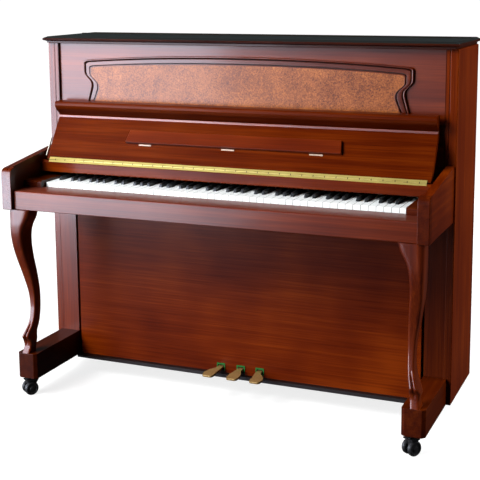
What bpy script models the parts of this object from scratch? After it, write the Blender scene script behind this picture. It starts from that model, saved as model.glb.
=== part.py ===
"""Upright piano in a French provincial case: cabriole legs on toe rails with casters, an arched
moulded upper panel, a fallboard that folds back, one playing octave and three pedals with trapwork.
Metres, +Z up. X runs to the player's right and the front faces -Y.
Depths are written as distances from the back of the case, and world_y turns them into Y."""

import math

import bmesh
import bpy
from mathutils import Matrix, Vector

# Keyboard
WHITE_KEYS = 52
KEY_PITCH = 0.02356
KEY_GAP = 0.0010
KEY_TOP = 0.725
KEY_HEIGHT = 0.0208
KEY_HEAD_LENGTH = 0.050
KEY_FRONT_DEPTH = 0.505
KEY_TAIL_DEPTH = 0.186
BLACK_WIDTH = 0.0102
BLACK_LENGTH = 0.093
BLACK_RISE = 0.012
BALANCE_DEPTH = 0.285
BALANCE_RAIL_WIDTH = 0.016
BACK_RAIL_WIDTH = 0.022
KEY_FUSE = 0.0005
KEY_CUT_STAGGER = 0.0003
KEY_REST_GAP = 0.0007
FIRST_PLAYING_KEY = 23
PLAYING_WHITE_KEYS = 7

# Case widths
CLEAR = 0.0003
KEY_SIDE_GAP = 0.0015
KEY_BLOCK_WIDTH = 0.055
ARM_THICKNESS = 0.036
SIDE_REVEAL = 0.005
SIDE_THICKNESS = 0.025
LID_OVERHANG = 0.0067
ARM_RECESS = 0.0117
ARM_POST_DEPTH = 0.0256

# Case depths, from the back
CASE_DEPTH = 0.6236
SIDE_DEPTH = 0.307
LID_FRONT_OVERHANG = 0.026
LID_SPLIT_DEPTH = 0.090
SLIP_DEPTH = 0.610
KEYBED_BACK = 0.125
PANEL_THICKNESS = 0.020
PANEL_SETBACK = 0.010
TOE_DEPTH = 0.589
STRIP_WIDTH = 0.012
STRIP_GROOVE = 0.0015
STRIP_SETBACK = 0.0005

# Case heights
HEIGHT = 1.197
LID_THICKNESS = 0.022
TOE_BOTTOM = 0.066
TOE_HEIGHT = 0.086
KEYBED_BOTTOM = 0.649
KEYBED_THICKNESS = 0.030
SLIP_TOP = 0.711
SLIP_SHELF_THICKNESS = 0.015
SLIP_BOARD_THICKNESS = 0.0222
KEY_BLOCK_TOP = 0.733
KEY_BLOCK_FRONT = 0.530
ARM_FRONT_TOP = 0.783
ARM_BACK_TOP = 0.8245

# Toe rails, stiles and bottom board
TOE_WIDTH = 0.073
TOE_OUT = 0.696
TOE_CHAMFER = 0.010
TOE_BACK = 0.020
STILE_THICKNESS = 0.020
STILE_SETBACK = 0.0004
PANEL_SIDE_GAP = 0.009
BOTTOM_BOARD_Z = 0.060
BOTTOM_BOARD_THICKNESS = 0.012
BOTTOM_BOARD_FRONT = 0.325
BOTTOM_BOARD_BACK = 0.100

# Fallboard, its hinge and the music desk
FALL_HINGE_DEPTH = SIDE_DEPTH + 0.1145
FALL_HINGE_Z = 0.788
FALL_LEAN = math.radians(33.1)
FALL_LENGTH = 0.1700
FALL_THICKNESS = 0.018
FALL_SIDE_GAP = 0.010
LIP_REACH = 0.044
LIP_HEIGHT = 0.014
HINGE_LEAF_WIDTH = 0.0090
HINGE_END_GAP = 0.011
HINGE_LEAF_THICKNESS = 0.0014
HINGE_BARREL_RADIUS = 0.0022
HINGE_KNUCKLES = 18
KNUCKLE_GAP = 0.0003
KNUCKLE_STEPS = 6
DESK_WIDTH = 0.750
DESK_HEIGHT = 0.046
DESK_THICKNESS = 0.012
DESK_UP_LEAF = 0.075
DESK_END_SLOPE = 0.012
NAMEBOARD_BOTTOM = 0.746
NAMEBOARD_SHELF = 0.018

# Upper panel moulding: half widths, drops below the lid, and its section as (inset, height) pairs
MOULD_EAR_X = 0.574
MOULD_NECK_X = 0.545
MOULD_FOOT_X = 0.566
MOULD_TOP_DROP = 0.037
MOULD_SHOULDER_DROP = 0.057
MOULD_EAR_LOW_DROP = 0.103
MOULD_NECK_DROP = 0.133
MOULD_FOOT_DROP = 0.210
MOULD_RISE = 0.052
MOULD_SECTION = [
    (0.0, 0.0),
    (0.0, 0.0035),
    (0.005, 0.0095),
    (0.011, 0.0065),
    (0.014, 0.0055),
    (0.016, 0.0065),
    (0.026, 0.0032),
    (0.028, 0.0),
]
BURL_THICKNESS = 0.0015

# Casters
CASTER_DEPTH_FRONT = TOE_DEPTH - 0.043
CASTER_TURN_FRONT = math.radians(-35)
CASTER_DEPTH_REAR = 0.050
CASTER_TRAIL = 0.016
WHEEL_RADIUS = 0.024
WHEEL_WIDTH = 0.015
WHEEL_STEPS = 18
CASTER_WEB = 0.009
AXLE_RADIUS = 0.0038
BORE_CLEARANCE = 0.0001

# Pedals and trapwork
PEDAL_X = (-0.0705, 0.0020, 0.0705)
PEDAL_TIP_X = (-0.0815, 0.0050, 0.0865)
PEDAL_NAMES = ("left", "middle", "right")
PEDAL_PIVOT_DEPTH = 0.255
PEDAL_PIVOT_Z = 0.0905
PEDAL_ARM_WIDTH = 0.018
PEDAL_TIP_WIDTH = 0.039
PEDAL_TIP_DEPTH = 0.402
PEDAL_TIP_Z = 0.0875
PEDAL_THICKNESS = 0.007
PEDAL_SLOT_WIDTH = 0.026
PEDAL_SLOT_TOP = 0.100
TRAP_DEPTHS = (0.225, 0.210, 0.195)
TRAP_REACHES = (0.200, 0.300, 0.400)
TRAP_WIDTH = 0.011
TRAP_HEIGHT = 0.020
TRAP_LOW = 0.1580
PEG_RADIUS = 0.0045
ROD_X = -0.648
ROD_RADIUS = 0.005
ROD_TOP = 0.740

# Back, soundboard, iron frame and action
BACK_BEAM_HEIGHT = 0.090
BACK_POST_WIDTH = 0.060
BACK_POST_DEPTH = 0.080
BACK_POSTS = (-0.635, -0.220, 0.220, 0.635)
SOUNDBOARD_THICKNESS = 0.008
BOARD_LOW = 0.180
PLATE_DEPTH = 0.104
PLATE_THICKNESS = 0.010
HAMMERS = 88
HAMMER_FILL = 0.32
HAMMER_RAIL_DEPTH = 0.215
HAMMER_RAIL_Z = 0.900

FLAT_ANGLE = math.radians(0.2)

WOOD = (0.190, 0.045, 0.020)
DARK_WOOD = (0.090, 0.022, 0.012)
PALE_WOOD = (0.620, 0.430, 0.240)
BURL = (0.480, 0.210, 0.090)
BRASS = (0.780, 0.620, 0.260)
GOLD = (0.600, 0.440, 0.160)
IVORY = (0.860, 0.870, 0.850)
EBONY = (0.012, 0.012, 0.014)
BLACK_IRON = (0.030, 0.030, 0.032)
FELT = (0.700, 0.690, 0.650)

keyboard_half = WHITE_KEYS * KEY_PITCH / 2
arm_in = keyboard_half + KEY_SIDE_GAP + KEY_BLOCK_WIDTH + CLEAR
arm_out = arm_in + ARM_THICKNESS
side_out = arm_out + SIDE_REVEAL
side_in = side_out - SIDE_THICKNESS
lid_out = side_out + LID_OVERHANG
toe_top = TOE_BOTTOM + TOE_HEIGHT
toe_in = TOE_OUT - TOE_WIDTH
lid_bottom = HEIGHT - LID_THICKNESS
recess_in = arm_in + ARM_RECESS
strip_in = side_in - STRIP_GROOVE - STRIP_WIDTH
mould_width = MOULD_SECTION[-1][0]
mould_thickness = max(height for inset, height in MOULD_SECTION)
keybed_top = KEYBED_BOTTOM + KEYBED_THICKNESS
key_bottom = KEY_TOP - KEY_HEIGHT
board_top = BOTTOM_BOARD_Z + BOTTOM_BOARD_THICKNESS
panel_front = SIDE_DEPTH - PANEL_SETBACK
slip_back = KEY_FRONT_DEPTH + 0.003
trap_axis_z = TRAP_LOW + TRAP_HEIGHT / 2
soundboard_back = BACK_POST_DEPTH + CLEAR
soundboard_front = soundboard_back + SOUNDBOARD_THICKNESS
shelf_drop = (FALL_THICKNESS + 0.0032) * math.sin(FALL_LEAN) + 0.0020 * math.cos(FALL_LEAN)
nameboard_shelf_z = FALL_HINGE_Z - shelf_drop


def world_y(depth):
    """Y of a point at this distance from the back of the case."""
    return CASE_DEPTH / 2 - depth


def clear_scene():
    for scene_object in list(bpy.data.objects):
        bpy.data.objects.remove(scene_object, do_unlink=True)


def new_collection(name):
    collection = bpy.data.collections.new(name)
    bpy.context.scene.collection.children.link(collection)
    return collection


clear_scene()
parts = new_collection("upright_piano")
cutters = new_collection("cutters")


def finish_material(name, colour, roughness, metallic=0.0):
    material = bpy.data.materials.new(name)
    material.use_nodes = True
    shader = material.node_tree.nodes["Principled BSDF"]
    shader.inputs["Base Color"].default_value = (*colour, 1.0)
    shader.inputs["Roughness"].default_value = roughness
    shader.inputs["Metallic"].default_value = metallic
    return material


def add_part(name, mesh, look):
    """A named part with its own material; look is (colour, roughness, metallic)."""
    part = bpy.data.objects.new(name, mesh)
    parts.objects.link(part)
    mesh.materials.clear()
    mesh.materials.append(finish_material(name, *look))
    return part


def add_cutter(name, mesh):
    cutter = bpy.data.objects.new(name, mesh)
    cutters.objects.link(cutter)
    cutter.hide_render = True
    cutter.display_type = "WIRE"
    return cutter


def combine(part, other, operation):
    """Boolean of a part with a hidden body: DIFFERENCE cuts, UNION glues on."""
    step = part.modifiers.new(operation.lower(), "BOOLEAN")
    step.operation = operation
    step.solver = "EXACT"
    step.object = other


def soften(part, width, segments=2):
    """Rounded edges on every sharp corner of a part."""
    step = part.modifiers.new("soft edges", "BEVEL")
    step.width = width
    step.segments = segments
    step.limit_method = "ANGLE"
    step.angle_limit = math.radians(40)


def box_mesh(name, x_range, depth_range, z_range):
    """A cuboid between two X, two depths and two heights."""
    shape = bmesh.new()
    bmesh.ops.create_cube(shape, size=1.0)
    width = x_range[1] - x_range[0]
    length = abs(depth_range[1] - depth_range[0])
    height = z_range[1] - z_range[0]
    bmesh.ops.scale(shape, vec=(width, length, height), verts=shape.verts)
    centre_y = (world_y(depth_range[0]) + world_y(depth_range[1])) / 2
    centre = ((x_range[0] + x_range[1]) / 2, centre_y, (z_range[0] + z_range[1]) / 2)
    bmesh.ops.translate(shape, vec=centre, verts=shape.verts)
    mesh = bpy.data.meshes.new(name)
    shape.to_mesh(mesh)
    shape.free()
    return mesh


def board(name, x_range, depth_range, z_range, look, edge=0.0):
    part = add_part(name, box_mesh(name, x_range, depth_range, z_range), look)
    if edge:
        soften(part, edge)
    return part


def rounded(corners, segments=4):
    """Outline points from corners (a, b, radius), each turned by an arc of its radius."""
    points = []
    count = len(corners)
    for index, (a, b, radius) in enumerate(corners):
        if radius <= 0:
            points.append((a, b))
            continue
        before = corners[index - 1]
        after = corners[(index + 1) % count]
        to_before = (before[0] - a, before[1] - b)
        to_after = (after[0] - a, after[1] - b)
        length_before = math.hypot(*to_before)
        length_after = math.hypot(*to_after)
        unit_before = (to_before[0] / length_before, to_before[1] / length_before)
        unit_after = (to_after[0] / length_after, to_after[1] / length_after)
        dot = unit_before[0] * unit_after[0] + unit_before[1] * unit_after[1]
        half = math.acos(max(-1.0, min(1.0, dot))) / 2
        reach = min(radius / math.tan(half), 0.49 * min(length_before, length_after))
        start = (a + unit_before[0] * reach, b + unit_before[1] * reach)
        end = (a + unit_after[0] * reach, b + unit_after[1] * reach)
        for step in range(segments + 1):
            t = step / segments
            weight = (1 - t) ** 2, 2 * t * (1 - t), t**2
            points.append(
                (
                    weight[0] * start[0] + weight[1] * a + weight[2] * end[0],
                    weight[0] * start[1] + weight[1] * b + weight[2] * end[1],
                )
            )
    return points


PLANES = {
    "side": lambda a, b, c: (c, world_y(a), b),
    "front": lambda a, b, c: (a, world_y(c), b),
    "plan": lambda a, b, c: (a, world_y(b), c),
}


def outline_mesh(name, outlines, plane, low, high):
    """Extrudes closed outlines between low and high: side outlines are (depth, z), front (x, z), plan (x, depth)."""
    curve = bpy.data.curves.new(name, "CURVE")
    curve.dimensions = "2D"
    curve.fill_mode = "BOTH"
    curve.extrude = (high - low) / 2
    for points in outlines:
        spline = curve.splines.new("POLY")
        spline.points.add(len(points) - 1)
        for slot, (a, b) in zip(spline.points, points):
            slot.co = (a, b, 0.0, 1.0)
        spline.use_cyclic_u = True
    guide = bpy.data.objects.new(name + " outline", curve)
    bpy.context.scene.collection.objects.link(guide)
    graph = bpy.context.evaluated_depsgraph_get()
    mesh = bpy.data.meshes.new_from_object(guide.evaluated_get(graph))
    bpy.data.objects.remove(guide)
    shape = bmesh.new()
    shape.from_mesh(mesh)
    bmesh.ops.remove_doubles(shape, verts=shape.verts, dist=0.00001)
    bmesh.ops.dissolve_limit(shape, angle_limit=FLAT_ANGLE, verts=shape.verts, edges=shape.edges)
    for vertex in shape.verts:
        vertex.co = PLANES[plane](vertex.co.x, vertex.co.y, vertex.co.z + (low + high) / 2)
    shape.normal_update()
    if shape.calc_volume(signed=True) < 0:
        bmesh.ops.reverse_faces(shape, faces=shape.faces)
    shape.to_mesh(mesh)
    shape.free()
    mesh.name = name
    return mesh


def profile(name, points, plane, low, high, look, edge=0.0):
    part = add_part(name, outline_mesh(name, [points], plane, low, high), look)
    if edge:
        soften(part, edge)
    return part


def loft_mesh(name, rings, closed=False):
    """Skin over rings of world points; closed joins the last ring to the first, else the ends are capped."""
    shape = bmesh.new()
    rows = [[shape.verts.new(point) for point in ring] for ring in rings]
    pairs = list(zip(rows, rows[1:]))
    if closed:
        pairs.append((rows[-1], rows[0]))
    else:
        shape.faces.new(rows[0])
        shape.faces.new(rows[-1])
    for near, far in pairs:
        count = len(near)
        for index in range(count):
            after = (index + 1) % count
            shape.faces.new((near[index], near[after], far[after], far[index]))
    bmesh.ops.recalc_face_normals(shape, faces=shape.faces)
    mesh = bpy.data.meshes.new(name)
    shape.to_mesh(mesh)
    shape.free()
    return mesh


def cylinder_mesh(name, radius, start, end, steps=16):
    """A rod between two world points."""
    begin = Vector(start)
    along = Vector(end) - begin
    shape = bmesh.new()
    bmesh.ops.create_cone(
        shape, cap_ends=True, segments=steps, radius1=radius, radius2=radius, depth=along.length
    )
    turn = along.to_track_quat("Z", "Y").to_matrix().to_4x4()
    bmesh.ops.transform(shape, matrix=Matrix.Translation(begin + along / 2) @ turn, verts=shape.verts)
    mesh = bpy.data.meshes.new(name)
    shape.to_mesh(mesh)
    shape.free()
    return mesh


def joined(name, meshes):
    """Several closed shells in one mesh, for one Boolean."""
    shape = bmesh.new()
    for mesh in meshes:
        shape.from_mesh(mesh)
    whole = bpy.data.meshes.new(name)
    shape.to_mesh(whole)
    shape.free()
    return whole


def sided(side, low, high):
    """X range on the left (-1) or right (1) side, in rising order."""
    return (low, high) if side > 0 else (-high, -low)


WOOD_LOOK = (WOOD, 0.22, 0.0)
DARK_LOOK = (DARK_WOOD, 0.35, 0.0)
PALE_LOOK = (PALE_WOOD, 0.55, 0.0)
BRASS_LOOK = (BRASS, 0.18, 1.0)
IVORY_LOOK = (IVORY, 0.20, 0.0)
EBONY_LOOK = (EBONY, 0.30, 0.0)
IRON_LOOK = (BLACK_IRON, 0.45, 0.6)
BURL_LOOK = (BURL, 0.25, 0.0)
RUBBER_LOOK = (BLACK_IRON, 0.35, 0.0)


def make_side(side, name):
    """Case side with the stile beside the lower panel and the grooved strip beside the upper panel."""
    part = board(
        name, sided(side, side_in, side_out), (0.0, SIDE_DEPTH), (TOE_BOTTOM, lid_bottom - CLEAR), WOOD_LOOK, 0.0025
    )
    stile = box_mesh(
        name + " stile",
        sided(side, toe_in, side_in + 0.004),
        (SIDE_DEPTH - STILE_THICKNESS, SIDE_DEPTH - STILE_SETBACK),
        (toe_top + CLEAR, KEYBED_BOTTOM - CLEAR),
    )
    strip_front = SIDE_DEPTH - STRIP_SETBACK
    strip = box_mesh(
        name + " strip",
        sided(side, strip_in, side_in + 0.004),
        (panel_front - 0.010, strip_front),
        (FALL_HINGE_Z, lid_bottom - 0.002),
    )
    groove = box_mesh(
        name + " groove",
        sided(side, side_in - STRIP_GROOVE, side_in),
        (strip_front - 0.005, SIDE_DEPTH + 0.010),
        (FALL_HINGE_Z - 0.010, lid_bottom - 0.001),
    )
    combine(part, add_cutter(name + "_stile", stile), "UNION")
    combine(part, add_cutter(name + "_strip", strip), "UNION")
    combine(part, add_cutter(name + "_groove", groove), "DIFFERENCE")


def make_arm(side, name):
    """Arm beside the keys: its top slopes down to a rounded corner, and it is thicker at the front post."""
    corners = [
        (SIDE_DEPTH + CLEAR, KEYBED_BOTTOM, 0),
        (CASE_DEPTH, KEYBED_BOTTOM, 0),
        (CASE_DEPTH, ARM_FRONT_TOP, 0.022),
        (SIDE_DEPTH + CLEAR, ARM_BACK_TOP, 0),
    ]
    low, high = sided(side, arm_in, arm_out)
    part = profile(name, rounded(corners, 6), "side", low, high, WOOD_LOOK, 0.002)
    recess = box_mesh(
        name + " recess",
        sided(side, arm_in - 0.010, recess_in),
        (SIDE_DEPTH - 0.010, CASE_DEPTH - ARM_POST_DEPTH),
        (SLIP_TOP, ARM_BACK_TOP + 0.010),
    )
    combine(part, add_cutter(name + "_recess", recess), "DIFFERENCE")


def make_toe_rail(side, name):
    """Toe rail under the leg: chamfered block in front, notched to pass inside the case side."""
    corners = [
        (toe_in, TOE_BACK),
        (side_in - CLEAR, TOE_BACK),
        (side_in - CLEAR, SIDE_DEPTH + CLEAR),
        (TOE_OUT, SIDE_DEPTH + CLEAR),
        (TOE_OUT, TOE_DEPTH - TOE_CHAMFER),
        (TOE_OUT - TOE_CHAMFER, TOE_DEPTH),
        (toe_in + TOE_CHAMFER, TOE_DEPTH),
        (toe_in, TOE_DEPTH - TOE_CHAMFER),
    ]
    points = [(side * x, depth) for x, depth in corners]
    profile(name, points, "plan", TOE_BOTTOM, toe_top, WOOD_LOOK, 0.0015)


# The cabriole leg from top to foot: height, then the places of the outer face, the inner face, the front
# and the back, measured inwards from the toe rail's outer face and back from its front
LEG_STATIONS = [
    (0.6487, 0.007, 0.086, -0.028, 0.040),
    (0.6200, 0.007, 0.077, -0.028, 0.044),
    (0.5900, 0.0075, 0.0605, -0.028, 0.045),
    (0.5600, 0.008, 0.053, -0.026, 0.045),
    (0.5200, 0.010, 0.051, -0.018, 0.047),
    (0.4800, 0.014, 0.053, -0.006, 0.051),
    (0.4400, 0.021, 0.057, 0.006, 0.056),
    (0.4000, 0.028, 0.060, 0.017, 0.061),
    (0.3600, 0.036, 0.062, 0.024, 0.064),
    (0.3200, 0.040, 0.062, 0.026, 0.064),
    (0.2900, 0.041, 0.062, 0.023, 0.061),
    (0.2650, 0.039, 0.060, 0.018, 0.059),
    (0.2450, 0.035, 0.057, 0.010, 0.057),
    (0.2250, 0.028, 0.052, 0.000, 0.055),
    (0.2120, 0.022, 0.051, -0.004, 0.055),
    (0.2030, 0.020, 0.052, 0.001, 0.053),
    (0.1950, 0.018, 0.053, 0.008, 0.051),
    (0.1750, 0.021, 0.051, 0.010, 0.047),
    (0.1523, 0.017, 0.048, 0.001, 0.047),
]
LEG_CORNER = 0.14


def make_leg(side, name):
    """Cabriole leg: a loft of soft-cornered sections that swing out at the knee and the foot."""
    rings = []
    top_z = LEG_STATIONS[0][0]
    foot_z = LEG_STATIONS[-1][0]
    low = toe_top + CLEAR
    high = KEYBED_BOTTOM - CLEAR
    for z, outer_gap, inner_gap, front_gap, back_gap in LEG_STATIONS:
        outer = TOE_OUT - outer_gap
        inner = TOE_OUT - inner_gap
        front = TOE_DEPTH - front_gap
        back = TOE_DEPTH - back_gap
        height = low + (z - foot_z) / (top_z - foot_z) * (high - low)
        cut = LEG_CORNER * min(outer - inner, front - back)
        corners = [(outer, front, cut), (inner, front, cut), (inner, back, cut), (outer, back, cut)]
        rings.append([(side * x, world_y(depth), height) for x, depth in rounded(corners, 2)])
    mesh = loft_mesh(name, rings)
    mesh.shade_smooth()
    mesh.set_sharp_from_angle(angle=math.radians(50))
    add_part(name, mesh, WOOD_LOOK)


# Edge of the lid from below: drop under the lid's top as a share of its thickness, and inset
LID_EDGE = [
    (1.0, 0.012),
    (0.73, 0.011),
    (0.62, 0.004),
    (0.55, 0.001),
    (0.41, 0.0),
    (0.25, 0.0015),
    (0.14, 0.006),
    (0.07, 0.011),
    (0.0, 0.013),
]
LID_BARREL_RADIUS = 0.0016
LID_BARREL_RISE = 0.0004
LID_GROOVE = 0.0026


def lid_board(name, back, front, split_at_back):
    """A lid board with the moulded edge on its ends and front, and half the hinge groove along the split."""
    rings = []
    for drop, inset in LID_EDGE:
        z = HEIGHT - drop * LID_THICKNESS
        groove = max(0.0, LID_GROOVE - drop * LID_THICKNESS)
        near = back + groove if split_at_back else back
        far = front - inset if split_at_back else front - groove
        corners = [(inset - lid_out, near), (lid_out - inset, near), (lid_out - inset, far), (inset - lid_out, far)]
        rings.append([(x, world_y(depth), z) for x, depth in corners])
    return add_part(name, loft_mesh(name, rings), WOOD_LOOK)


def make_lid():
    """Two-part lid: the fixed rear board and the front board that folds back over it."""
    lid_board("lid_rear", 0.0, LID_SPLIT_DEPTH - CLEAR, False)
    lid_board("lid_front", LID_SPLIT_DEPTH + CLEAR, SIDE_DEPTH + LID_FRONT_OVERHANG, True)
    y = world_y(LID_SPLIT_DEPTH)
    reach = lid_out - LID_EDGE[-1][1] - 0.001
    z = HEIGHT + LID_BARREL_RISE
    barrel = cylinder_mesh("lid_hinge", LID_BARREL_RADIUS, (-reach, y, z), (reach, y, z), 8)
    add_part("lid_hinge", barrel, IRON_LOOK)


def half_moulding(inset):
    """Right half of the moulding's outline, top middle to bottom middle, moved in by inset."""
    points = []
    arch_steps = 5
    arch_power = 2.2
    top = lid_bottom - MOULD_TOP_DROP - inset
    shoulder = lid_bottom - MOULD_SHOULDER_DROP - 0.85 * inset
    ear = MOULD_EAR_X - inset
    arch_end = ear - 0.012
    for step in range(arch_steps):
        t = step / arch_steps
        points.append((t * arch_end, top - (top - shoulder) * t**arch_power))
    neck = MOULD_NECK_X - 1.25 * inset
    foot = MOULD_FOOT_X - inset
    swing = rounded(
        [
            (arch_end, shoulder, 0),
            (ear, shoulder - 0.004, 0.006),
            (ear, lid_bottom - MOULD_EAR_LOW_DROP - 0.3 * inset, 0.020),
            (neck, lid_bottom - MOULD_NECK_DROP - 0.3 * inset, 0.030),
            (foot, lid_bottom - MOULD_FOOT_DROP, 0.060),
            (foot, FALL_HINGE_Z + MOULD_RISE + inset, 0),
        ],
        4,
    )
    return points + swing


def full_outline(half):
    mirrored = [(-x, z) for x, z in reversed(half) if x > 0]
    return half + mirrored


def make_upper_panel():
    """Upper front panel with its arched moulding and the burl veneer field inside it."""
    panel_half = strip_in - CLEAR
    panel_back = panel_front - PANEL_THICKNESS
    board(
        "upper_panel",
        (-panel_half, panel_half),
        (panel_back, panel_front),
        (nameboard_shelf_z + CLEAR, lid_bottom - 0.001),
        WOOD_LOOK,
        0.002,
    )
    front = panel_front + CLEAR
    rings = [
        [(x, world_y(front + height), z) for x, z in full_outline(half_moulding(inset))]
        for inset, height in MOULD_SECTION
    ]
    add_part("panel_moulding", loft_mesh("panel_moulding", rings, closed=True), WOOD_LOOK)
    field = full_outline(half_moulding(mould_width + CLEAR))
    profile("burl_inlay", field, "front", front, front + BURL_THICKNESS, BURL_LOOK)


def make_lower_case():
    """Lower panel with pedal slots, and the bottom board that carries pedals and trapwork."""
    panel_half = toe_in - PANEL_SIDE_GAP
    floor_half = toe_in - CLEAR - 0.0002
    part = board(
        "lower_panel",
        (-panel_half, panel_half),
        (SIDE_DEPTH - STILE_THICKNESS, SIDE_DEPTH),
        (board_top + CLEAR, KEYBED_BOTTOM - 0.001),
        WOOD_LOOK,
    )
    half = PEDAL_SLOT_WIDTH / 2
    slots = [
        box_mesh(
            "slot",
            (x - half, x + half),
            (SIDE_DEPTH - STILE_THICKNESS - 0.01, SIDE_DEPTH + 0.01),
            (board_top - 0.01, PEDAL_SLOT_TOP),
        )
        for x in PEDAL_X
    ]
    combine(part, add_cutter("pedal_slots", joined("pedal slots", slots)), "DIFFERENCE")
    floor = board(
        "bottom_board",
        (-floor_half, floor_half),
        (BOTTOM_BOARD_BACK, BOTTOM_BOARD_FRONT),
        (BOTTOM_BOARD_Z, board_top),
        DARK_LOOK,
    )
    blocks = []
    bores = []
    inner = PEDAL_ARM_WIDTH / 2 + 0.0010
    y = world_y(PEDAL_PIVOT_DEPTH)
    for x in PEDAL_X:
        for side in (-1, 1):
            blocks.append(
                box_mesh(
                    "cheek",
                    sorted((x + side * inner, x + side * (inner + 0.012))),
                    (PEDAL_PIVOT_DEPTH - 0.012, PEDAL_PIVOT_DEPTH + 0.012),
                    (board_top - 0.002, PEDAL_PIVOT_Z + 0.012),
                )
            )
        reach = inner + 0.014
        start = (x - reach, y, PEDAL_PIVOT_Z)
        end = (x + reach, y, PEDAL_PIVOT_Z)
        bores.append(cylinder_mesh("bore", AXLE_RADIUS + BORE_CLEARANCE, start, end, 24))
    combine(floor, add_cutter("pedal_cheeks", joined("pedal cheeks", blocks)), "UNION")
    combine(floor, add_cutter("pedal_bores", joined("pedal bores", bores)), "DIFFERENCE")
    posts = []
    pins = []
    for x, reach, depth in zip(PEDAL_X, TRAP_REACHES, TRAP_DEPTHS):
        near = TRAP_WIDTH / 2 + 0.0008
        width = 0.010
        posts.append(
            box_mesh(
                "trap post",
                (x + reach - width, x + reach + width),
                (depth + near, depth + near + 0.010),
                (board_top - 0.002, trap_axis_z + 0.012),
            )
        )
        start = (x + reach, world_y(depth - TRAP_WIDTH / 2 + 0.0005), trap_axis_z)
        end = (x + reach, world_y(depth + near + 0.005), trap_axis_z)
        pins.append(cylinder_mesh("pin", AXLE_RADIUS, start, end))
    combine(floor, add_cutter("trap_posts", joined("trap posts", posts)), "UNION")
    combine(floor, add_cutter("trap_pins", joined("trap pins", pins)), "UNION")


def make_pedals():
    """Brass pedals on cross pins, each with its rear end under the peg of its own trap lever."""
    half_thick = PEDAL_THICKNESS / 2
    for name, x, tip_x, depth in zip(PEDAL_NAMES, PEDAL_X, PEDAL_TIP_X, TRAP_DEPTHS):
        rear = depth - TRAP_WIDTH / 2
        side_corners = [
            (rear, PEDAL_PIVOT_Z - half_thick, 0),
            (SIDE_DEPTH + 0.010, PEDAL_PIVOT_Z - half_thick, 0.030),
            (PEDAL_TIP_DEPTH, PEDAL_TIP_Z - half_thick, 0),
            (PEDAL_TIP_DEPTH, PEDAL_TIP_Z + half_thick, 0.004),
            (SIDE_DEPTH + 0.010, PEDAL_PIVOT_Z + half_thick, 0.040),
            (rear, PEDAL_PIVOT_Z + half_thick, 0),
        ]
        half = PEDAL_TIP_WIDTH / 2
        arm = PEDAL_ARM_WIDTH / 2
        edges = []
        for side in (-1, 1):
            edges.append(
                [
                    (tip_x + side * half, PEDAL_TIP_DEPTH + 0.001, 0.014),
                    (tip_x + side * half, SIDE_DEPTH + 0.058, 0.030),
                    (x + side * arm, SIDE_DEPTH + 0.018, 0.030),
                    (x + side * arm, rear - 0.002, 0),
                ]
            )
        outline = edges[0][::-1] + edges[1]
        low = min(x - arm, tip_x - half) - 0.002
        high = max(x + arm, tip_x + half) + 0.002
        part = profile(f"pedal_{name}", rounded(side_corners, 3), "side", low, high, BRASS_LOOK)
        shape = outline_mesh(
            "plan", [rounded(outline, 4)], "plan", PEDAL_TIP_Z - 0.030, PEDAL_PIVOT_Z + 0.030
        )
        combine(part, add_cutter(f"pedal_plan_{name}", shape), "INTERSECT")
        y = world_y(PEDAL_PIVOT_DEPTH)
        reach = arm + 0.0105
        pin = cylinder_mesh("pin", AXLE_RADIUS, (x - reach, y, PEDAL_PIVOT_Z), (x + reach, y, PEDAL_PIVOT_Z))
        combine(part, add_cutter(f"pedal_pin_{name}", pin), "UNION")
        put_origin(part, x, PEDAL_PIVOT_DEPTH, PEDAL_PIVOT_Z)


def make_trapwork():
    """Trap levers with a peg on each pedal, pivoted on the right, with a lifting rod on each left end."""
    for name, x, reach, depth in zip(PEDAL_NAMES, PEDAL_X, TRAP_REACHES, TRAP_DEPTHS):
        pivot_x = x + reach
        half = TRAP_WIDTH / 2
        lever = board(
            f"trap_lever_{name}",
            (ROD_X - 0.010, pivot_x + 0.014),
            (depth - half, depth + half),
            (TRAP_LOW, TRAP_LOW + TRAP_HEIGHT),
            PALE_LOOK,
        )
        start = (pivot_x, world_y(depth - half - 0.002), trap_axis_z)
        end = (pivot_x, world_y(depth + half + 0.002), trap_axis_z)
        bore = cylinder_mesh("bore", AXLE_RADIUS + BORE_CLEARANCE, start, end, 24)
        peg_y = world_y(depth)
        peg_foot = PEDAL_PIVOT_Z + PEDAL_THICKNESS / 2 + 0.0004
        peg = cylinder_mesh("peg", PEG_RADIUS, (x, peg_y, peg_foot), (x, peg_y, TRAP_LOW + 0.002), 12)
        combine(lever, add_cutter(f"trap_bore_{name}", bore), "DIFFERENCE")
        combine(lever, add_cutter(f"trap_peg_{name}", peg), "UNION")
        put_origin(lever, pivot_x, depth, trap_axis_z)
        y = world_y(depth)
        foot = TRAP_LOW + TRAP_HEIGHT + 0.0005
        rod = cylinder_mesh(f"lift_rod_{name}", ROD_RADIUS, (ROD_X, y, foot), (ROD_X, y, ROD_TOP), 12)
        add_part(f"lift_rod_{name}", rod, PALE_LOOK)


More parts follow.
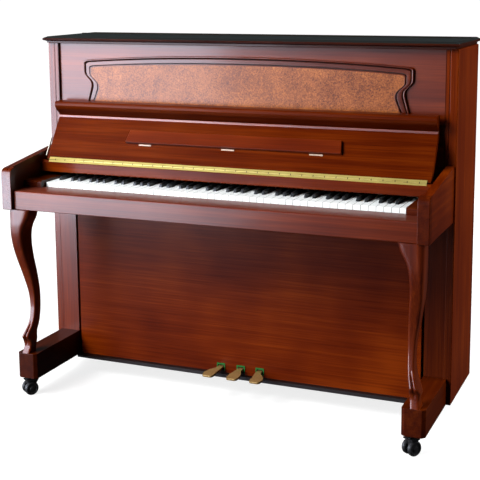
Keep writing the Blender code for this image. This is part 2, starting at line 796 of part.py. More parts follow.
def make_keybed():
    """Keybed with its guide rail, the key slip before it and the blocks beside the keys."""
    slip_inner = SLIP_DEPTH - SLIP_BOARD_THICKNESS
    bed_front = slip_inner - CLEAR
    rail_front = KEY_FRONT_DEPTH - 0.008
    rail_back = KEY_FRONT_DEPTH - 0.050
    rail_top = keybed_top + 0.012
    corners = [
        (KEYBED_BACK, KEYBED_BOTTOM),
        (bed_front, KEYBED_BOTTOM),
        (bed_front, keybed_top),
        (rail_front, keybed_top),
        (rail_front, rail_top),
        (rail_back, rail_top),
        (rail_back, keybed_top),
        (KEYBED_BACK, keybed_top),
    ]
    half = arm_in - CLEAR
    bed = profile("keybed", corners, "side", -half, half, PALE_LOOK)
    notch = box_mesh(
        "notch", (-half - 0.01, ROD_X + 0.023), (KEYBED_BACK - 0.01, 0.245), (KEYBED_BOTTOM - 0.01, keybed_top + 0.01)
    )
    combine(bed, add_cutter("rod_notch", notch), "DIFFERENCE")
    shelf_low = SLIP_TOP - SLIP_SHELF_THICKNESS
    slip = [
        (slip_inner, KEYBED_BOTTOM, 0),
        (SLIP_DEPTH, KEYBED_BOTTOM, 0.002),
        (SLIP_DEPTH, SLIP_TOP, 0.006),
        (slip_back, SLIP_TOP, 0.002),
        (slip_back, shelf_low, 0),
        (slip_inner, shelf_low, 0),
    ]
    profile("key_slip", rounded(slip, 3), "side", -half, half, WOOD_LOOK)
    block = [
        (0.400, rail_top + CLEAR, 0),
        (slip_back - CLEAR, rail_top + CLEAR, 0),
        (slip_back - CLEAR, SLIP_TOP + CLEAR, 0),
        (KEY_BLOCK_FRONT, SLIP_TOP + CLEAR, 0),
        (KEY_BLOCK_FRONT, KEY_BLOCK_TOP, 0.006),
        (0.400, KEY_BLOCK_TOP, 0),
    ]
    for side, name in ((-1, "key_block_left"), (1, "key_block_right")):
        low, high = sided(side, keyboard_half + KEY_SIDE_GAP, arm_in - CLEAR)
        part = profile(name, rounded(block, 4), "side", low, high, WOOD_LOOK)
        ledge = [corner for corner in block if corner[1] > SLIP_TOP]
        ledge.insert(0, (block[0][0], SLIP_TOP + CLEAR, 0))
        wing_x = sided(side, arm_in - 0.002, recess_in - CLEAR)
        ledge = [corner for index, corner in enumerate(ledge) if corner not in ledge[:index]]
        wing = outline_mesh(name + " wing", [rounded(ledge, 4)], "side", *wing_x)
        combine(part, add_cutter(name + "_wing", wing), "UNION")


def make_nameboard():
    """Board behind the keys: it carries the fallboard hinge and the upper panel."""
    up_depth = -math.sin(FALL_LEAN)
    up_z = math.cos(FALL_LEAN)
    out_depth = math.cos(FALL_LEAN)
    out_z = math.sin(FALL_LEAN)
    sunk = HINGE_LEAF_THICKNESS + CLEAR
    leaf_seat = HINGE_LEAF_WIDTH
    top = (
        FALL_HINGE_DEPTH - sunk * out_depth - 0.0020 * up_depth,
        FALL_HINGE_Z - sunk * out_z - 0.0020 * up_z,
    )
    low = (top[0] - leaf_seat * up_depth, top[1] - leaf_seat * up_z)
    back_depth = top[0] - (FALL_THICKNESS + 0.0015) * out_depth
    shelf_z = nameboard_shelf_z
    shelf_back = panel_front - PANEL_THICKNESS - 0.004
    corners = [
        (low[0], NAMEBOARD_BOTTOM, 0.003),
        (low[0], low[1], 0),
        (top[0], top[1], 0),
        (back_depth, shelf_z, 0),
        (shelf_back, shelf_z, 0),
        (shelf_back, shelf_z - NAMEBOARD_SHELF, 0),
        (low[0] - 0.030, shelf_z - NAMEBOARD_SHELF, 0),
        (low[0] - 0.030, NAMEBOARD_BOTTOM, 0),
    ]
    half = recess_in - CLEAR
    profile("nameboard", rounded(corners, 3), "side", -half, half, WOOD_LOOK)


def leaf_point(up, out):
    """Depth and height of a point up the open fallboard and out from its face."""
    depth = FALL_HINGE_DEPTH - up * math.sin(FALL_LEAN) + out * math.cos(FALL_LEAN)
    z = FALL_HINGE_Z + up * math.cos(FALL_LEAN) + out * math.sin(FALL_LEAN)
    return depth, z


def make_fallboard():
    """Fallboard, open: a leaf that leans back and a moulded lip along its far edge."""
    face = -(HINGE_LEAF_THICKNESS + CLEAR)
    rear = face - FALL_THICKNESS
    nose = leaf_point(FALL_LENGTH + 0.011, LIP_REACH)
    top_z = nose[1] + LIP_HEIGHT
    lip_back = panel_front + mould_thickness + 0.0085
    corners = [
        (*leaf_point(0.0032, face), 0.001),
        (*leaf_point(FALL_LENGTH, face), 0.003),
        (*leaf_point(FALL_LENGTH + 0.005, LIP_REACH - 0.012), 0.004),
        (*nose, 0.008),
        (nose[0] - 0.002, top_z, 0.008),
        (lip_back, top_z + 0.002, 0.004),
        (lip_back, top_z - 0.022, 0),
        (*leaf_point(FALL_LENGTH - 0.010, rear), 0.006),
        (*leaf_point(0.0032, rear), 0.001),
    ]
    half = arm_in - FALL_SIDE_GAP
    part = profile("fallboard", rounded(corners, 3), "side", -half, half, WOOD_LOOK)
    put_origin(part, 0.0, FALL_HINGE_DEPTH, FALL_HINGE_Z)


def make_fallboard_hinge():
    """Continuous hinge: two strips with knuckles that mesh along one axis."""
    half = arm_in - FALL_SIDE_GAP - HINGE_END_GAP
    step = half / HINGE_KNUCKLES
    back = -HINGE_LEAF_THICKNESS
    centre_depth, centre_z = leaf_point(0.0, 0.0)
    y = world_y(centre_depth)
    for turn, name, sign in ((0, "fallboard_hinge_upper", 1), (1, "fallboard_hinge_lower", -1)):
        near = sign * (HINGE_BARREL_RADIUS + CLEAR)
        far = sign * HINGE_LEAF_WIDTH
        root = near + sign * 0.001
        strip = [leaf_point(near, back), leaf_point(far, back), leaf_point(far, 0.0), leaf_point(near, 0.0)]
        tab = [leaf_point(0.0, back), leaf_point(root, back), leaf_point(root, 0.0), leaf_point(0.0, 0.0)]
        part = profile(name, strip, "side", -half, half, BRASS_LOOK)
        tabs = []
        barrels = []
        for index in range(HINGE_KNUCKLES):
            start = -half + (2 * index + turn) * step + KNUCKLE_GAP
            end = start + step - 2 * KNUCKLE_GAP
            tabs.append(outline_mesh("tab", [tab], "side", start + 0.0001, end - 0.0001))
            barrels.append(
                cylinder_mesh(
                    "barrel", HINGE_BARREL_RADIUS, (start, y, centre_z), (end, y, centre_z), KNUCKLE_STEPS
                )
            )
        combine(part, add_cutter(name + "_tabs", joined(name + " tabs", tabs)), "UNION")
        combine(part, add_cutter(name + "_barrels", joined(name + " barrels", barrels)), "UNION")


def make_music_shelf():
    """Music shelf folded up against the fallboard, hinged along its lower edge."""
    half = DESK_WIDTH / 2
    low = DESK_UP_LEAF
    high = low + DESK_HEIGHT
    back = -(HINGE_LEAF_THICKNESS + CLEAR) + CLEAR
    section = [
        leaf_point(low, back),
        leaf_point(low, back + DESK_THICKNESS),
        leaf_point(high, back + DESK_THICKNESS - 0.003),
        leaf_point(high, back),
    ]
    part = profile("music_shelf", section, "side", -half, half, WOOD_LOOK)
    for side in (-1, 1):
        end = [
            (side * (half + 0.010), leaf_point(low - 0.004, 0)[1]),
            (side * half, leaf_point(low - 0.004, 0)[1]),
            (side * (half - DESK_END_SLOPE), leaf_point(high + 0.006, 0)[1] + 0.02),
            (side * (half + 0.010), leaf_point(high + 0.006, 0)[1] + 0.02),
        ]
        cut = outline_mesh("end", [end], "front", 0.28, 0.50)
        combine(part, add_cutter(f"desk_end_{'right' if side > 0 else 'left'}", cut), "DIFFERENCE")
    soften(part, 0.0015, 1)


NOTES = "ABCDEFG"
BLACK_AFTER = {"A": 0.0016, "C": -0.0016, "D": 0.0016, "F": -0.0022, "G": 0.0}


def white_edge(index):
    return -keyboard_half + index * KEY_PITCH


def black_centre(index):
    """X of the black key after this white key, or None where there is none."""
    note = NOTES[index % 7]
    if note not in BLACK_AFTER or index >= WHITE_KEYS - 1:
        return None
    return white_edge(index + 1) + BLACK_AFTER[note]


def white_key_mesh(index, bottom):
    """A white key: a full-width head, and a tail cut away beside its black neighbours."""
    left = white_edge(index) + KEY_GAP / 2
    right = white_edge(index + 1) - KEY_GAP / 2
    side = BLACK_WIDTH / 2 + KEY_GAP
    before = black_centre(index - 1) if index else None
    after = black_centre(index)
    tail_left = left if before is None else before + side
    tail_right = right if after is None else after - side
    waist = KEY_FRONT_DEPTH - KEY_HEAD_LENGTH
    points = [(left, KEY_FRONT_DEPTH), (right, KEY_FRONT_DEPTH)]
    if after is not None:
        points += [(right, waist), (tail_right, waist)]
    points += [(tail_right, KEY_TAIL_DEPTH), (tail_left, KEY_TAIL_DEPTH)]
    if before is not None:
        points += [(tail_left, waist - KEY_CUT_STAGGER), (left, waist - KEY_CUT_STAGGER)]
    return outline_mesh("white key", [points], "plan", bottom, KEY_TOP)


def black_key_mesh(index, bottom, tail_depth):
    """A black key: its stick, and the raised sharp with a sloped front."""
    centre = black_centre(index)
    front = KEY_FRONT_DEPTH - KEY_HEAD_LENGTH - 0.0012
    sharp_back = front - BLACK_LENGTH
    stick_top = KEY_TOP - 0.003
    top = KEY_TOP + BLACK_RISE
    points = [
        (front, bottom),
        (front, KEY_TOP),
        (front - 0.005, top),
        (sharp_back, top),
        (sharp_back, stick_top),
        (tail_depth, stick_top),
        (tail_depth, bottom),
    ]
    half = BLACK_WIDTH / 2
    return outline_mesh("black key", [points], "side", centre - half, centre + half)


def playing(index):
    return FIRST_PLAYING_KEY <= index < FIRST_PLAYING_KEY + PLAYING_WHITE_KEYS


def put_origin(part, x, depth, z):
    """Moves a part's origin to its joint's axis and leaves its shape where it is."""
    place = (x, world_y(depth), z)
    part.data.transform(Matrix.Translation([-value for value in place]))
    part.location = place


def make_keys():
    """One octave of separate playing keys; the others are joined to the rails that carry them."""
    rail_top = key_bottom + KEY_FUSE
    half = keyboard_half - 0.001
    rail_half = BALANCE_RAIL_WIDTH / 2
    rail = board(
        "white_keys",
        (-half, half),
        (BALANCE_DEPTH - rail_half, BALANCE_DEPTH + rail_half),
        (keybed_top + CLEAR, rail_top),
        IVORY_LOOK,
    )
    still = [white_key_mesh(index, key_bottom) for index in range(WHITE_KEYS) if not playing(index)]
    combine(rail, add_cutter("still_white_keys", joined("still white keys", still)), "UNION")
    black_bottom = rail_top + KEY_REST_GAP
    back_front = KEY_TAIL_DEPTH - 0.001
    back_back = back_front - BACK_RAIL_WIDTH
    back = board(
        "black_keys",
        (-half, half),
        (back_back, back_front),
        (key_bottom - 0.020, black_bottom + KEY_FUSE),
        EBONY_LOOK,
    )
    still = [
        black_key_mesh(index, black_bottom, back_back + 0.004)
        for index in range(WHITE_KEYS)
        if black_centre(index) is not None and not playing(index)
    ]
    combine(back, add_cutter("still_black_keys", joined("still black keys", still)), "UNION")
    for index in range(FIRST_PLAYING_KEY, FIRST_PLAYING_KEY + PLAYING_WHITE_KEYS):
        note = NOTES[index % 7].lower()
        mesh = white_key_mesh(index, rail_top + KEY_REST_GAP)
        part = add_part(f"key_{note}", mesh, IVORY_LOOK)
        put_origin(part, (white_edge(index) + white_edge(index + 1)) / 2, BALANCE_DEPTH, rail_top)
        if black_centre(index) is not None:
            sharp = add_part(
                f"key_{note}_sharp", black_key_mesh(index, black_bottom, KEY_TAIL_DEPTH + 0.001), EBONY_LOOK
            )
            put_origin(sharp, black_centre(index), BALANCE_DEPTH, rail_top)


def make_caster(side, end, depth):
    """Twin-wheel caster: swivel plate, hood and web, and two wheels on one axle."""
    side_name = "left" if side < 0 else "right"
    inset = TOE_WIDTH / 2
    turn = CASTER_TURN_FRONT
    if end == "rear":
        inset += 0.004
        turn = 0.0
    x = side * (TOE_OUT - inset)
    axle_depth = depth + CASTER_TRAIL
    flat = math.cos(math.pi / WHEEL_STEPS)
    axle_z = WHEEL_RADIUS * flat
    web = CASTER_WEB / 2
    hood_low = axle_z + WHEEL_RADIUS + 0.0012
    plate_top = TOE_BOTTOM - CLEAR
    corners = [
        (axle_depth - 0.009, axle_z - 0.006, 0.004),
        (axle_depth + 0.009, axle_z - 0.006, 0.004),
        (axle_depth + 0.012, hood_low + 0.004, 0.003),
        (depth + 0.012, plate_top - 0.003, 0),
        (depth - 0.012, plate_top - 0.003, 0),
        (depth - 0.014, hood_low, 0.003),
    ]
    part = profile(f"caster_fork_{end}_{side_name}", rounded(corners, 3), "side", x - web, x + web, IRON_LOOK)
    y = world_y(depth)
    plate = cylinder_mesh("plate", 0.021, (x, y, plate_top - 0.004), (x, y, plate_top), 16)
    combine(part, add_cutter(f"caster_plate_{end}_{side_name}", plate), "UNION")
    reach = web + WHEEL_WIDTH
    hood = box_mesh(
        "hood", (x - reach, x + reach), (axle_depth - 0.016, axle_depth + 0.016), (hood_low, hood_low + 0.004)
    )
    combine(part, add_cutter(f"caster_hood_{end}_{side_name}", hood), "UNION")
    axle_y = world_y(axle_depth)
    bore = cylinder_mesh(
        "bore", AXLE_RADIUS + BORE_CLEARANCE, (x - 0.02, axle_y, axle_z), (x + 0.02, axle_y, axle_z), 24
    )
    combine(part, add_cutter(f"caster_bore_{end}_{side_name}", bore), "DIFFERENCE")
    stem = Matrix.Translation((x, y, 0.0))
    swing = stem @ Matrix.Rotation(turn, 4, "Z") @ stem.inverted()
    for mesh in (part.data, plate, hood, bore):
        mesh.transform(swing)
    make_wheels(f"caster_wheels_{end}_{side_name}", swing @ Vector((x, axle_y, axle_z)), turn, web)


def make_wheels(name, place, swivel, web):
    """Two round-edged wheels and their axle, turned as one piece."""
    edge = 0.004
    inner = web + 0.0008
    outer = inner + WHEEL_WIDTH
    half = [
        (WHEEL_RADIUS * 0.45, outer + 0.001),
        (WHEEL_RADIUS - edge, outer),
        (WHEEL_RADIUS, outer - edge),
        (WHEEL_RADIUS, inner + edge * 0.5),
        (WHEEL_RADIUS - edge * 0.5, inner),
        (AXLE_RADIUS, inner),
    ]
    section = [(0.0, outer + 0.001)] + half + [(r, -h) for r, h in reversed(half)] + [(0.0, -outer - 0.001)]
    shape = bmesh.new()
    chain = [shape.verts.new((r, 0.0, h)) for r, h in section]
    for near, far in zip(chain, chain[1:]):
        shape.edges.new((near, far))
    bmesh.ops.spin(
        shape,
        geom=shape.verts[:] + shape.edges[:],
        cent=(0, 0, 0),
        axis=(0, 0, 1),
        angle=2 * math.pi,
        steps=WHEEL_STEPS,
        use_merge=True,
    )
    bmesh.ops.remove_doubles(shape, verts=shape.verts, dist=0.00002)
    bmesh.ops.recalc_face_normals(shape, faces=shape.faces)
    half_step = math.pi / WHEEL_STEPS
    across = Matrix.Rotation(half_step, 4, "X") @ Matrix.Rotation(math.pi / 2, 4, "Y")
    turn = Matrix.Rotation(swivel, 4, "Z") @ across
    bmesh.ops.transform(shape, matrix=turn, verts=shape.verts)
    mesh = bpy.data.meshes.new(name)
    shape.to_mesh(mesh)
    shape.free()
    mesh.shade_smooth()
    mesh.set_sharp_from_angle(angle=math.radians(35))
    part = add_part(name, mesh, RUBBER_LOOK)
    part.location = place


def make_back():
    """Back frame of two beams and four posts, with the ribbed soundboard before it."""
    half = side_in - CLEAR
    beam_back = 0.004
    low = TOE_BOTTOM
    top_low = lid_bottom - CLEAR - BACK_BEAM_HEIGHT
    frame = board(
        "back_frame", (-half, half), (beam_back, BACK_POST_DEPTH), (low, lid_bottom - CLEAR), PALE_LOOK
    )
    bays = []
    reach = BACK_POST_WIDTH / 2
    for near, far in zip(BACK_POSTS, BACK_POSTS[1:]):
        bays.append(
            box_mesh(
                "bay",
                (near + reach, far - reach),
                (beam_back - 0.01, BACK_POST_DEPTH + 0.01),
                (low + BACK_BEAM_HEIGHT, top_low),
            )
        )
    for side in (-1, 1):
        bays.append(
            box_mesh(
                "toe rest",
                sided(side, toe_in - CLEAR, side_in + 0.01),
                (TOE_BACK - CLEAR, BACK_POST_DEPTH + 0.01),
                (low - 0.01, toe_top + CLEAR),
            )
        )
    combine(frame, add_cutter("back_bays", joined("back bays", bays)), "DIFFERENCE")
    panel_half = side_in - 0.025
    soundboard = board(
        "soundboard",
        (-panel_half, panel_half),
        (soundboard_back, soundboard_front),
        (BOARD_LOW, top_low - 0.002),
        (PALE_WOOD, 0.40, 0.0),
    )
    ribs = []
    for index in range(6):
        z = BOARD_LOW + 0.06 + index * 0.130
        for near, far in zip(BACK_POSTS, BACK_POSTS[1:]):
            x_range = (near + reach + 0.004, far - reach - 0.004)
            ribs.append(box_mesh("rib", x_range, (soundboard_back - 0.018, soundboard_back + 0.001), (z, z + 0.022)))
    combine(soundboard, add_cutter("ribs", joined("ribs", ribs)), "UNION")


def make_iron_frame():
    """Cast iron frame with its string windows, standing before the soundboard."""
    half = side_in - 0.025
    low = toe_top + 0.012
    high = lid_bottom - 0.012
    frame = board(
        "iron_frame", (-half, half), (PLATE_DEPTH, PLATE_DEPTH + PLATE_THICKNESS), (low, high), (GOLD, 0.40, 0.7)
    )
    bars = (-half + 0.03, -0.22, 0.12, 0.42, half - 0.03)
    windows = []
    for near, far in zip(bars, bars[1:]):
        windows.append(
            box_mesh(
                "window",
                (near + 0.015, far - 0.015),
                (PLATE_DEPTH - 0.01, PLATE_DEPTH + PLATE_THICKNESS + 0.01),
                (low + 0.09, high - 0.17),
            )
        )
    combine(frame, add_cutter("frame_windows", joined("frame windows", windows)), "DIFFERENCE")
    seat_half = half - 0.010
    seat_depths = (soundboard_back, PLATE_DEPTH + 0.002)
    seats = [
        box_mesh("seat", (-seat_half, seat_half), seat_depths, (low, BOARD_LOW - 0.002)),
        box_mesh("seat", (-seat_half, seat_half), seat_depths, (lid_bottom - BACK_BEAM_HEIGHT, high - 0.004)),
    ]
    combine(frame, add_cutter("frame_seats", joined("frame seats", seats)), "UNION")


def make_action():
    """Action: hammer rail with its hammers between two brackets that stand on the keybed."""
    half = keyboard_half
    action = board(
        "action",
        (-half - 0.001, half + 0.001),
        (HAMMER_RAIL_DEPTH - 0.008, HAMMER_RAIL_DEPTH + 0.008),
        (HAMMER_RAIL_Z - 0.012, HAMMER_RAIL_Z + 0.012),
        PALE_LOOK,
    )
    pieces = []
    spread = 2 * half / HAMMERS
    shank_top = HAMMER_RAIL_Z + 0.090
    for index in range(HAMMERS):
        x = -half + (index + 0.5) * spread
        width = spread * HAMMER_FILL
        points = [
            (HAMMER_RAIL_DEPTH - 0.003, HAMMER_RAIL_Z),
            (HAMMER_RAIL_DEPTH + 0.003, HAMMER_RAIL_Z),
            (HAMMER_RAIL_DEPTH + 0.003, shank_top),
            (HAMMER_RAIL_DEPTH - 0.042, shank_top - 0.003),
            (HAMMER_RAIL_DEPTH - 0.003, shank_top - 0.018),
        ]
        pieces.append(outline_mesh("hammer", [points], "side", x - width, x + width))
    for side in (-1, 1):
        points = [
            (HAMMER_RAIL_DEPTH - 0.030, keybed_top + CLEAR),
            (HAMMER_RAIL_DEPTH + 0.060, keybed_top + CLEAR),
            (HAMMER_RAIL_DEPTH + 0.016, HAMMER_RAIL_Z + 0.060),
            (HAMMER_RAIL_DEPTH - 0.016, HAMMER_RAIL_Z + 0.060),
        ]
        low, high = sided(side, half + CLEAR, half + 0.0075)
        pieces.append(outline_mesh("bracket", [points], "side", low, high))
    combine(action, add_cutter("hammers", joined("hammers", pieces)), "UNION")


for case_side, side_word in ((-1, "left"), (1, "right")):
    make_side(case_side, f"side_{side_word}")
    make_arm(case_side, f"arm_{side_word}")
    make_toe_rail(case_side, f"toe_rail_{side_word}")
    make_leg(case_side, f"leg_{side_word}")
    make_caster(case_side, "front", CASTER_DEPTH_FRONT)
    make_caster(case_side, "rear", CASTER_DEPTH_REAR)
make_lid()
make_upper_panel()
make_lower_case()
make_pedals()
make_trapwork()
make_keybed()
make_nameboard()
make_fallboard()
make_fallboard_hinge()
make_music_shelf()
make_keys()
make_back()
make_iron_frame()
make_action()
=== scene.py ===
import math

import bmesh
import bpy
from mathutils import Matrix, Vector


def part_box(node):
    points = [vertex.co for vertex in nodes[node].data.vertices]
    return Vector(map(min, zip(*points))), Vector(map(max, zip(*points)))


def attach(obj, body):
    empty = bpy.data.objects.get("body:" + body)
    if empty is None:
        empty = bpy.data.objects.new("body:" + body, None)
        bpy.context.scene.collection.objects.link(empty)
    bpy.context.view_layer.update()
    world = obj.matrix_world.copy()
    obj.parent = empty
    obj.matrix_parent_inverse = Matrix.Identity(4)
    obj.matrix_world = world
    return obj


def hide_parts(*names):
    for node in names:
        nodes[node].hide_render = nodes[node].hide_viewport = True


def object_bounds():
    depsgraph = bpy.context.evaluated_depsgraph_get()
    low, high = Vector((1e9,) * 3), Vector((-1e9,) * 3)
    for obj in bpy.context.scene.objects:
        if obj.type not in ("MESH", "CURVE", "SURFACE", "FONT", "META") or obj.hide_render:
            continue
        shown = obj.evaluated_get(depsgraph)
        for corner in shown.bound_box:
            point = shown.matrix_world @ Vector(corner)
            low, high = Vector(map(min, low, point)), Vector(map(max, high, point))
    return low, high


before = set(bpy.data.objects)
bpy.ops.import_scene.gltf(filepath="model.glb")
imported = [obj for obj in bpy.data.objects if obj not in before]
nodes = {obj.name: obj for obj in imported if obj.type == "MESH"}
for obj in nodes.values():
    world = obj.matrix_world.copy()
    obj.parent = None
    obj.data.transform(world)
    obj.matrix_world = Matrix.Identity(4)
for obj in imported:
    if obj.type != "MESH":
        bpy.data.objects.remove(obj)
cad_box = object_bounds()

# Camera: the piano is seen from its right and a little above the lid, with a long lens. A
# small shift keeps its uprights nearly upright, as in a catalogue picture.
CAMERA_PLACE = (1.3766, -3.2597, 1.3785)
CAMERA_TURN = math.radians(22.80)
CAMERA_DIP = math.radians(9.374)
CAMERA_ROLL = math.radians(-0.431)
CAMERA_LENS = 82.6
CAMERA_SHIFT = -0.1604

camera_data = bpy.data.cameras.new("photo_camera")
camera_data.lens = CAMERA_LENS
camera_data.sensor_width = 36.0
camera_data.shift_y = CAMERA_SHIFT
camera = bpy.data.objects.new("photo_camera", camera_data)
bpy.context.scene.collection.objects.link(camera)
camera.matrix_world = (
    Matrix.Translation(CAMERA_PLACE)
    @ Matrix.Rotation(CAMERA_TURN, 4, "Z")
    @ Matrix.Rotation(math.pi / 2 - CAMERA_DIP, 4, "X")
    @ Matrix.Rotation(CAMERA_ROLL, 4, "Z")
)
bpy.context.scene.camera = camera

# Studio: soft cards at the left front, low on the floor and behind, which only show in the
# lacquer, and soft boxes overhead, in front, at the right and behind, which only light. The
# room is dim, so the stain stays deep.
ROOM_LIGHT = 0.03


def soft_light(name, place, aim, size, power, mirrored=False, colour=(1.0, 1.0, 1.0)):
    """A soft box at a place, turned to face a point. It either lights, or shows in gloss only."""
    light = bpy.data.lights.new(name, "AREA")
    light.shape = "RECTANGLE"
    light.size, light.size_y = size
    light.energy = power
    light.color = colour
    lamp = bpy.data.objects.new(name, light)
    bpy.context.scene.collection.objects.link(lamp)
    lamp.location = place
    lamp.rotation_euler = (Vector(aim) - Vector(place)).to_track_quat("-Z", "Y").to_euler()
    lamp.visible_glossy = mirrored
    lamp.visible_diffuse = not mirrored


COOL_WHITE = (0.90, 0.98, 1.16)
PALE_CYAN = (0.88, 1.0, 1.0)
# Each light has a place, a point that it faces, a size and a power.
soft_light("left_card", (-3.55, -3.95, 1.10), (0.0, -0.3, 0.9), (3.4, 3.1), 365, True, COOL_WHITE)
soft_light("side_card", (-5.0, -1.3, 1.10), (0.0, -0.3, 0.9), (2.4, 3.0), 160, True, COOL_WHITE)
soft_light("floor_card", (-2.0, -3.1, 0.02), (-2.0, -3.1, 1.0), (2.0, 1.6), 85, True, COOL_WHITE)
soft_light("overhead_box", (-2.1, -2.4, 3.0), (-0.1, -0.3, 0.7), (2.2, 1.8), 300)
soft_light("front_box", (-2.4, -4.8, 1.5), (0.0, 0.0, 0.7), (3.0, 2.6), 165)
soft_light("right_box", (3.2, 1.3, 1.9), (0.7, 0.1, 0.6), (1.8, 2.4), 150)
soft_light("back_box", (0.5, 3.8, 2.2), (0.0, 0.3, 0.6), (3.0, 2.0), 120)
soft_light("back_card", (-2.6, 6.0, 1.6), (0.0, 0.0, 1.2), (6.0, 3.0), 7, True, PALE_CYAN)

world = bpy.data.worlds.new("studio")
world.use_nodes = True
world.node_tree.nodes["Background"].inputs["Color"].default_value = (1.0, 1.0, 1.0, 1.0)
world.node_tree.nodes["Background"].inputs["Strength"].default_value = ROOM_LIGHT
bpy.context.scene.world = world
bpy.context.scene.view_settings.view_transform = "Standard"

# Floor and backdrop: a plain white sheet that runs back into a white surround. Both are seen
# by the camera only, and don't colour the lacquer.
FLOOR_REACH = 28.0
SURROUND_RADIUS = 30.0
FLOOR_WHITE = (0.26, 0.26, 0.26, 1.0)
NEAR_GLOW = (0.80, 0.80, 0.80, 1.0)
FAR_GLOW = (1.05, 1.05, 1.05, 1.0)
SURROUND_BASE = (0.0, 0.0, 0.0, 1.0)
NEAR_FLOOR = 1.0
FAR_FLOOR = 3.5


def mesh_object(name, shape):
    """Turns a finished bmesh into an object in the scene."""
    mesh = bpy.data.meshes.new(name)
    shape.to_mesh(mesh)
    shape.free()
    made = bpy.data.objects.new(name, mesh)
    bpy.context.scene.collection.objects.link(made)
    return made


class Shade:
    """A socket of a material's tree that can be used in Python expressions."""

    def __init__(self, tree, socket):
        self.tree = tree
        self.socket = socket

    def node(self, kind, settings, sockets, output=0):
        """Adds a node: its settings first, then the values or links of its sockets."""
        made = self.tree.nodes.new(kind)
        for key, value in settings.items():
            if key == "stops":
                ramp = made.color_ramp
                while len(ramp.elements) < len(value):
                    ramp.elements.new(0.5)
                for element, (position, colour) in zip(ramp.elements, value):
                    element.position = position
                    element.color = (*colour, 1.0)
            else:
                setattr(made, key, value)
        for key, value in sockets.items():
            if isinstance(value, Shade):
                self.tree.links.new(value.socket, made.inputs[key])
            else:
                made.inputs[key].default_value = value
        return Shade(self.tree, made.outputs[output])

    def math(self, operation, first, second):
        return self.node("ShaderNodeMath", {"operation": operation}, {0: first, 1: second})

    def __add__(self, other):
        return self.math("ADD", self, other)

    def __radd__(self, other):
        return self.math("ADD", other, self)

    def __sub__(self, other):
        return self.math("SUBTRACT", self, other)

    def __rsub__(self, other):
        return self.math("SUBTRACT", other, self)

    def __mul__(self, other):
        return self.math("MULTIPLY", self, other)

    def __rmul__(self, other):
        return self.math("MULTIPLY", other, self)

    def step(self, low, high):
        """0 below low and 1 above high, with a smooth rise between them."""
        return self.node(
            "ShaderNodeMapRange",
            {"interpolation_type": "SMOOTHSTEP"},
            {"Value": self, "From Min": low, "From Max": high},
        )

    def noise(self, scale, detail=3.0, roughness=0.5, distortion=0.0):
        """Noise over this position."""
        return self.node(
            "ShaderNodeTexNoise",
            {"noise_dimensions": "3D"},
            {
                "Vector": self,
                "Scale": scale,
                "Detail": detail,
                "Roughness": roughness,
                "Distortion": distortion,
            },
        )

    def stretched(self, scale, place=(0.0, 0.0, 0.0)):
        """This position, moved and scaled along each axis."""
        sockets = {"Vector": self, "Scale": scale, "Location": place}
        return self.node("ShaderNodeMapping", {}, sockets)

    def part(self, axis):
        """One coordinate of this position."""
        return self.node("ShaderNodeSeparateXYZ", {}, {0: self}, output="XYZ".index(axis))

    def length(self):
        """Distance of this position from the origin."""
        return self.node("ShaderNodeVectorMath", {"operation": "LENGTH"}, {0: self}, output=1)

    def tint(self, colour, other):
        """Mixes two colours by this mask."""
        return self.node(
            "ShaderNodeMix",
            {"data_type": "RGBA", "blend_type": "MIX"},
            {"Factor": self, 6: colour, 7: other},
            output=2,
        )

    def bump(self, strength, distance):
        """This height as a bump normal."""
        sockets = {"Height": self, "Strength": strength, "Distance": distance}
        return self.node("ShaderNodeBump", {}, sockets)


def new_finish(name, **fixed):
    """A material with its shader, and the place on the object to paint by."""
    material = bpy.data.materials.new(name)
    material.use_nodes = True
    tree = material.node_tree
    shader = tree.nodes["Principled BSDF"]
    for key, value in fixed.items():
        shader.inputs[key.replace("_", " ").title().replace("Ior", "IOR")].default_value = value
    place = tree.nodes.new("ShaderNodeTexCoord")
    return material, shader, Shade(tree, place.outputs["Object"])


def feed(shader, socket, shade):
    """Links a shade to one of the shader's sockets."""
    shade.tree.links.new(shade.socket, shader.inputs[socket])


def studio_piece(name, shape, material):
    """A piece of the studio, which only the camera sees."""
    made = mesh_object(name, shape)
    made.data.materials.append(material)
    made.visible_diffuse = False
    made.visible_glossy = False
    return made


floor_sheet, floor_shader, floor_at = new_finish(
    "floor_sheet", base_color=FLOOR_WHITE, roughness=0.8, emission_strength=1.0
)
farness = floor_at.length().step(NEAR_FLOOR, FAR_FLOOR)
feed(floor_shader, "Emission Color", farness.tint(NEAR_GLOW, FAR_GLOW))
floor_shape = bmesh.new()
bmesh.ops.create_grid(floor_shape, x_segments=1, y_segments=1, size=FLOOR_REACH)
studio_piece("studio_floor", floor_shape, floor_sheet)

surround_white = new_finish(
    "surround_white", base_color=SURROUND_BASE, emission_color=FAR_GLOW, emission_strength=1.0
)[0]
surround_shape = bmesh.new()
bmesh.ops.create_icosphere(surround_shape, subdivisions=4, radius=SURROUND_RADIUS)
surround = studio_piece("studio_surround", surround_shape, surround_white)
surround.visible_shadow = False

